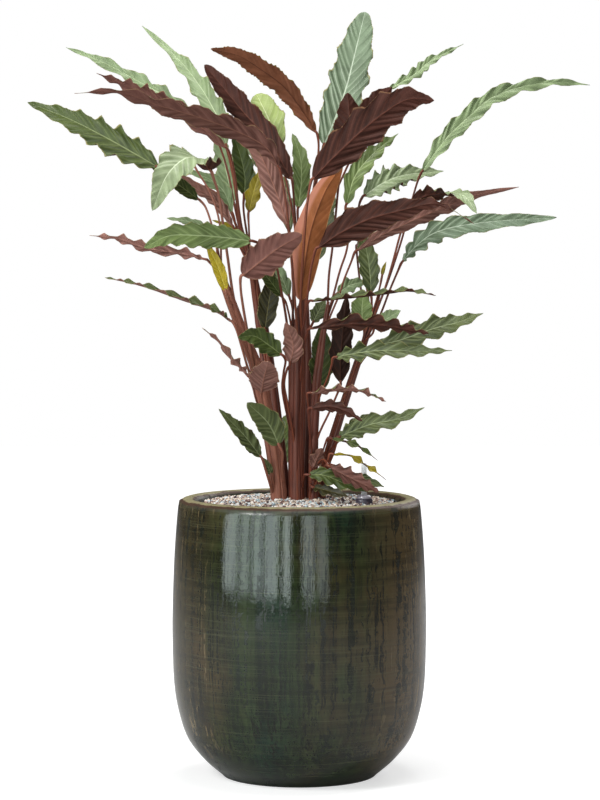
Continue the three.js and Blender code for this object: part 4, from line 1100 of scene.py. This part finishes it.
def stem_axis(number, heights):
    """Centres and radii of a stem at heights."""
    rows = STEMS[number][1]
    points = np.array([place(row) for row in rows])
    radii = [row[3] for row in rows]
    centres = np.stack([np.interp(heights, points[:, 2], points[:, axis]) for axis in (0, 1)], -1)
    centres = np.column_stack([centres, heights])
    return centres, np.interp(heights, points[:, 2], radii)


def stem_at(number, height):
    """Centre and radius of a stem at one height."""
    (centre,), (radius,) = stem_axis(number, np.array([float(min(height, stem_top(number)))]))
    return centre, radius


def spread_bearings(bearings, joins, gap):
    """Bearings moved apart until the stalks that run side by side are a gap from each other."""
    bearings = list(bearings)
    for _ in range(SPREADING_ROUNDS):
        for i in range(len(bearings)):
            for j in range(i):
                between = (bearings[i] - bearings[j] + math.pi) % (2 * math.pi) - math.pi
                if abs(between) < gap:
                    push = (gap - abs(between)) * 0.25 * (1 if between >= 0 else -1)
                    share = 0.5 if joins[i] == joins[j] else (0.8 if joins[i] < joins[j] else 0.2)
                    bearings[i] += 2 * push * share
                    bearings[j] -= 2 * push * (1 - share)
    return bearings


def stalk(row, bearing, radius_at_foot, draw):
    """A leaf's stalk: swollen under the blade, then down to its stem and along its skin."""
    number, width, midrib_row, via, join = row[1], row[3], row[11], row[12], row[13]
    (base,), (heading,) = along([place(point) for point in midrib_row], [0])
    points = [base + heading * 3, base - heading * 4] + [place(point) for point in via]
    foot = FOOT_HEIGHT - STALK_SUNK
    for height in [*np.arange(join, foot, -float(STALK_STEP)), foot]:
        centre, radius = stem_at(number, height)
        centre[2] = height
        away = max(radius - radius_at_foot * 1.15, 0.5)
        points.append(centre + away * np.array([math.cos(bearing), math.sin(bearing), 0]))
    fine, _ = along(points, np.linspace(0, 1, 12 * len(points)))
    steps = max(int(path_length(fine) / STALK_PITCH), 8)
    centres, headings = along(points, np.linspace(0, 1, steps))
    run = ways(centres)
    neck = 1.2 + 0.012 * width
    swollen = SWELLING * np.exp(-((run - SWELLING_AT) / SWELLING_REACH) ** 2)
    radii = neck + swollen + (radius_at_foot - neck) * (run / run[-1]).clip(0, 1) ** 1.2
    return tube(centres, headings, radii, STALK_SIDES, own=draw.random())


def join_parts(parts):
    """Several (points, faces, round map, run map) as one."""
    faces, start = [], 0
    for part in parts:
        faces += [tuple(start + index for index in face) for face in part[1]]
        start += len(part[0])
    points, circles, runs = (np.concatenate([part[k] for part in parts]) for k in (0, 2, 3))
    return points, faces, {"round": circles, "run": runs}


def clump(number):
    """A stem: the stalks of all its leaves, bundled around a core painted dark as shade."""
    name, rows = STEMS[number]
    draw = random.Random(40 + number)
    top = stem_top(number)
    heights = np.linspace(FOOT_HEIGHT - CORE_SUNK, top, int((top - FOOT_HEIGHT) / 8))
    centres, radii = stem_axis(number, heights)
    headings = unit(np.gradient(centres, axis=0))
    radii = radii * (1 - 0.4 * ((heights - top + TAPER_HEIGHT) / TAPER_HEIGHT).clip(0, 1))
    core = [tube(centres, headings, radii * CORE_SHARE, CORE_SIDES, (1, 0, 0))]
    for turn in range(SHEATHS):
        bearing = turn * 2 * math.pi / SHEATHS + draw.uniform(-0.3, 0.3)
        bearing = bearing + SHEATH_TWIST * (heights - FOOT_HEIGHT)
        beside = np.column_stack([np.cos(bearing), np.sin(bearing), np.zeros(len(heights))])
        share = draw.uniform(*SHEATH_SHARES)
        middle = centres + beside * (radii * (1 - share))[:, None]
        core.append(tube(middle, headings, radii * share, SHEATH_SIDES, (1, 0, 0),
                         draw.random()))
    leaves = [row for row in LEAVES if row[1] == number]
    natural, joins = [], [row[13] for row in leaves]
    for row in leaves:
        outward = place(row[12][-1])[:2] - stem_at(number, row[13])[0][:2]
        natural.append(math.atan2(outward[1], outward[0]))
    foot_radius = rows[0][3]
    room = 2 * math.pi / len(leaves)
    thinnest, thickest = STALK_RADII
    thickness = min(max(foot_radius * room * 0.5, thinnest), thickest)
    bearings = spread_bearings(natural, joins, room * 0.92)
    stalks = [stalk(row, bearing, thickness * draw.uniform(0.85, 1.15), draw)
              for row, bearing in zip(leaves, bearings)]
    points, faces, maps = join_parts([*core, *stalks])
    inside, sheathed = len(core[0][1]), sum(len(part[1]) for part in core[1:])
    chosen = [2] * inside + [1] * sheathed + [0] * (len(faces) - inside - sheathed)
    skins = [stalk_skin, sheath_skin, painted_shade_core]
    if number == LEANING_STEM:
        skins[:2] = [leaning_skin, leaning_skin]
    piece = make_piece(name.replace("stem", "clump"), points, faces, skins, chosen, maps)
    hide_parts(name)
    return piece


for stem_number in range(len(STEMS)):
    clump(stem_number)

# Planter and its insert

# The points of the pot's profile that are its outside and its rim, and how finely it is turned
OUTSIDE_START, OUTSIDE_END = 1, 14
PROFILE_PITCH = 5.0
PLANTER_SIDES = 192
INSERT_SIDES = 128


def smooth_profile(points, pitch):
    """The profile with its corners eased and points about pitch apart."""
    knots = np.array(points, float)
    out = [knots[0]]
    for i in range(len(knots) - 1):
        steps = max(int(np.linalg.norm(knots[i + 1] - knots[i]) / pitch), 2)
        shares = (i + np.arange(1, steps + 1) / steps) / (len(knots) - 1)
        out.extend(along(knots, shares)[0])
    return out


def planter():
    """The pot, with its outside eased from the foot to the rim."""
    outside = smooth_profile(POT_PROFILE[OUTSIDE_START:OUTSIDE_END], PROFILE_PITCH)
    profile = [*POT_PROFILE[:OUTSIDE_START], *outside, *POT_PROFILE[OUTSIDE_END:]]
    points, faces = turned(profile, PLANTER_SIDES)
    piece = make_piece("planter", points, faces, [make_glaze()])
    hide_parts("pot")
    return piece


def insert():
    """The insert that holds the granulate."""
    points, faces = turned(LINER_PROFILE, INSERT_SIDES)
    piece = make_piece("insert", points, faces, [make_insert_plastic()], smooth=False)
    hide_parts("liner")
    return piece


planter()
insert()

# Granulate

GRAIN_COUNT = 4000
GRAIN_RADII = (1.7, 3.2)
GRAIN_SCATTER = 1.2
GRAIN_EDGE_GAP = 1.5
GRAIN_LIFTS = (-0.2, 2.2)
FIELD_SHARE = 0.985
GRAIN_SHADES = [
    (246, 238, 228), (232, 214, 196), (206, 180, 160), (252, 250, 248), (222, 232, 236),
    (184, 204, 212), (128, 96, 88), (70, 50, 54), (160, 134, 126), (242, 226, 206),
]


def grit_top(x, y):
    """Height of the granulate's bed."""
    r = math.hypot(x, y) / GRIT_RADIUS
    swell = math.sin(x * 0.21 + 1.3) * math.cos(y * 0.19) + math.sin(x * 0.11 - y * 0.16)
    return GRIT_EDGE_Z + GRIT_HEAP * (1 - r * r) + GRIT_BUMP * swell * (1 - r ** 6)


def stone_form():
    """Corners and faces of a twenty-sided stone."""
    golden = (1 + math.sqrt(5)) / 2
    corners = [(0, a, b * golden) for a in (-1, 1) for b in (-1, 1)]
    corners = unit(np.array([np.roll(c, k) for k in range(3) for c in corners], float))
    near = np.linalg.norm(corners[:, None] - corners[None, :], axis=-1) < 1.1
    stone = [(i, j, k) for i in range(12) for j in range(i + 1, 12) for k in range(j + 1, 12)
             if near[i, j] and near[j, k] and near[i, k]]
    stone = [(i, j, k) if np.dot(np.cross(corners[j] - corners[i], corners[k] - corners[i]),
                                 corners[i]) > 0 else (i, k, j) for i, j, k in stone]
    return corners, stone


def loose_grains(count):
    """Angular grains lying on the bed, each a roughened stone."""
    corners, stone = stone_form()
    draw = np.random.default_rng(7)
    points, faces, shades = [], [], []
    for number in range(count):
        radius = GRIT_RADIUS * FIELD_SHARE * math.sqrt((number + 0.5) / count)
        angle = number * math.pi * (3 - math.sqrt(5)) + draw.uniform(-0.02, 0.02)
        x = radius * math.cos(angle) + draw.uniform(-GRAIN_SCATTER, GRAIN_SCATTER)
        y = radius * math.sin(angle) + draw.uniform(-GRAIN_SCATTER, GRAIN_SCATTER)
        if math.hypot(x, y) > GRIT_RADIUS - GRAIN_EDGE_GAP:
            continue
        size = draw.uniform(*GRAIN_RADII)
        form = corners * draw.uniform(0.7, 1.15, (12, 1)) * size * draw.uniform(0.75, 1.1, 3)
        turn, _ = np.linalg.qr(draw.normal(size=(3, 3)))
        if np.linalg.det(turn) < 0:
            turn[:, 0] = -turn[:, 0]
        centre = np.array([x, y, grit_top(x, y) + draw.uniform(*GRAIN_LIFTS)])
        start = 12 * len(points)
        points.append(form @ turn.T + centre)
        faces += [tuple(start + index for index in face) for face in stone]
        shade = colour(*GRAIN_SHADES[int(draw.integers(len(GRAIN_SHADES)))])
        shades += [shade] * 12
    piece = make_piece("loose_grains", np.concatenate(points), faces, [make_grain_stone()],
                       smooth=False)
    layer = piece.data.color_attributes.new("grain", "FLOAT_COLOR", "POINT")
    layer.data.foreach_set("color", np.asarray(shades, np.float32).ravel())
    return piece


loose_grains(GRAIN_COUNT)
bed = frame["nodes"]["substrate"]
bed.data.materials.clear()
bed.data.materials.append(make_bed_stone())

# Water gauge


def gauge():
    """The water gauge: its dark body, the milky dome on it and the clear tube above."""
    centre = (GAUGE_X, GAUGE_Y)
    top, r = GAUGE_CAP_TOP, GAUGE_CAP_RADIUS
    body = [(r, GAUGE_CAP_BOTTOM), (r, top - 8), (r - 0.4, top - 7), (r - 0.4, top - 5.4),
            (r - 1.6, top - 5)]
    points, faces = turned(body, GAUGE_SIDES, centre)
    cap = make_piece("gauge_body", points, faces, [make_gauge_plastic()], smooth=False)
    dome = [(r - 1.7, top - 4.9), (r - 1.9, top - 3.4), (r - 2.8, top - 1.6), (r - 4.6, top - 0.4),
            (r - 7.0, top)]
    points, faces = turned(dome, GAUGE_SIDES, centre)
    lens = make_piece("gauge_dome", points, faces, [make_gauge_milky()])
    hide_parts("gauge_cap")
    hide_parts("gauge_cap")
    r = GAUGE_TUBE_RADIUS
    wall = [(r, top + 0.3), (r, GAUGE_TUBE_TOP - 2), (r - 0.6, GAUGE_TUBE_TOP - 0.6),
            (r - 1.8, GAUGE_TUBE_TOP), (r - 2.4, GAUGE_TUBE_TOP - 1.4), (r - 1.1, GAUGE_TUBE_TOP - 3),
            (r - 1.1, top + 1.5)]
    points, faces = turned(wall, GAUGE_TUBE_SIDES, centre)
    clear = make_piece("gauge_tube_wall", points, faces, [make_clear_tube()])
    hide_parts("gauge_tube")


gauge()

# Floor, light and camera

FLOOR_RADIUS = 7000
FLOOR_SIDES = 96


def pointed(name, data, at, aim):
    """A light or camera, placed at one point and turned towards another."""
    made = bpy.data.objects.new(name, data)
    made.location = at
    made.rotation_euler = (Vector(aim) - Vector(at)).to_track_quat("-Z", "Y").to_euler()
    scene.collection.objects.link(made)
    return made


def panel(name, at, aim, width, height, power, tint=(1, 1, 1)):
    """A flat light of width by height."""
    data = bpy.data.lights.new(name, "AREA")
    data.shape = "RECTANGLE"
    data.size, data.size_y = width, height
    data.energy = power
    data.color = tint
    return pointed(name, data, at, aim)


# Tall windows in front of the pot: from and to which bearing, seen from the pot, and how
# strong they are. Their light falls from two broad panels, and their panes show in the glaze.
WINDOW_DISTANCE = 3.2
WINDOW_HEIGHT = 2.3
WINDOW_SILL = 0.11
BROAD_WINDOWS = [(-74, -16, 11.6), (-3, 28, 12.5)]
PANES = [(-71, -57, 34), (-54.5, -45, 30), (-42.5, -34, 34), (-31.5, -18.5, 36), (-14.5, -8, 38),
         (3, 13, 24), (15.5, 25, 15)]


def window(name, start, end, power, tint):
    """An upright panel between two bearings, facing the pot."""
    middle = math.radians((start + end) / 2)
    width = WINDOW_DISTANCE * math.radians(end - start)
    level = WINDOW_HEIGHT / 2 + WINDOW_SILL
    spot = (WINDOW_DISTANCE * math.sin(middle), -WINDOW_DISTANCE * math.cos(middle), level)
    return panel(name, spot, (0, 0, level), width, WINDOW_HEIGHT, power * width, tint)


def floor():
    cosines, sines = round_steps(FLOOR_SIDES)
    points = np.stack([FLOOR_RADIUS * cosines, FLOOR_RADIUS * sines, np.zeros(FLOOR_SIDES)], -1)
    mesh = bpy.data.meshes.new("floor")
    mesh.from_pydata((points * MM).tolist(), [], [tuple(range(FLOOR_SIDES))])
    mesh.materials.append(make_pale_floor())
    ground = bpy.data.objects.new("floor", mesh)
    scene.collection.objects.link(ground)


def world():
    """White surroundings, weaker for the light that they give than for the camera."""
    made = bpy.data.worlds.new("studio")
    made.use_nodes = True
    n = Nodes(made.node_tree)
    background = made.node_tree.nodes["Background"]
    path = n.tree.nodes.new("ShaderNodeLightPath").outputs
    dim = n.times(path["Is Glossy Ray"], -0.12, 0.2)
    n.dress(background.inputs, Color=(1, 1, 1, 1),
            Strength=n.times(path["Is Camera Ray"], 0.8, dim))
    scene.world = made


def camera():
    data = bpy.data.cameras.new("camera")
    data.sensor_width = SENSOR_WIDTH
    data.lens = LENS
    data.clip_start, data.clip_end = CLIP
    eye = Vector((0, -EYE_DISTANCE, EYE_HEIGHT)) * MM
    scene.camera = pointed("camera", data, eye, Vector(AIM) * MM)


floor()
world()
panel("key_left", (-2.2, -2.0, 3.0), (0, 0, 0.7), 1.0, 1.2, 99)
panel("top", (0.2, 0.1, 3.2), (0, 0, 0.6), 1.4, 1.4, 55)
panel("back_right", (1.6, 2.2, 2.0), (0, 0, 0.8), 1.2, 1.6, 34)
for number, (start, end, power) in enumerate(BROAD_WINDOWS):
    window(f"window_{number}", start, end, power, (0.93, 1, 0.97)).visible_glossy = False
for number, (start, end, power) in enumerate(PANES):
    window(f"pane_{number}", start, end, power, (0.86, 1, 0.98)).visible_diffuse = False
camera()
scene.view_settings.view_transform = "Standard"
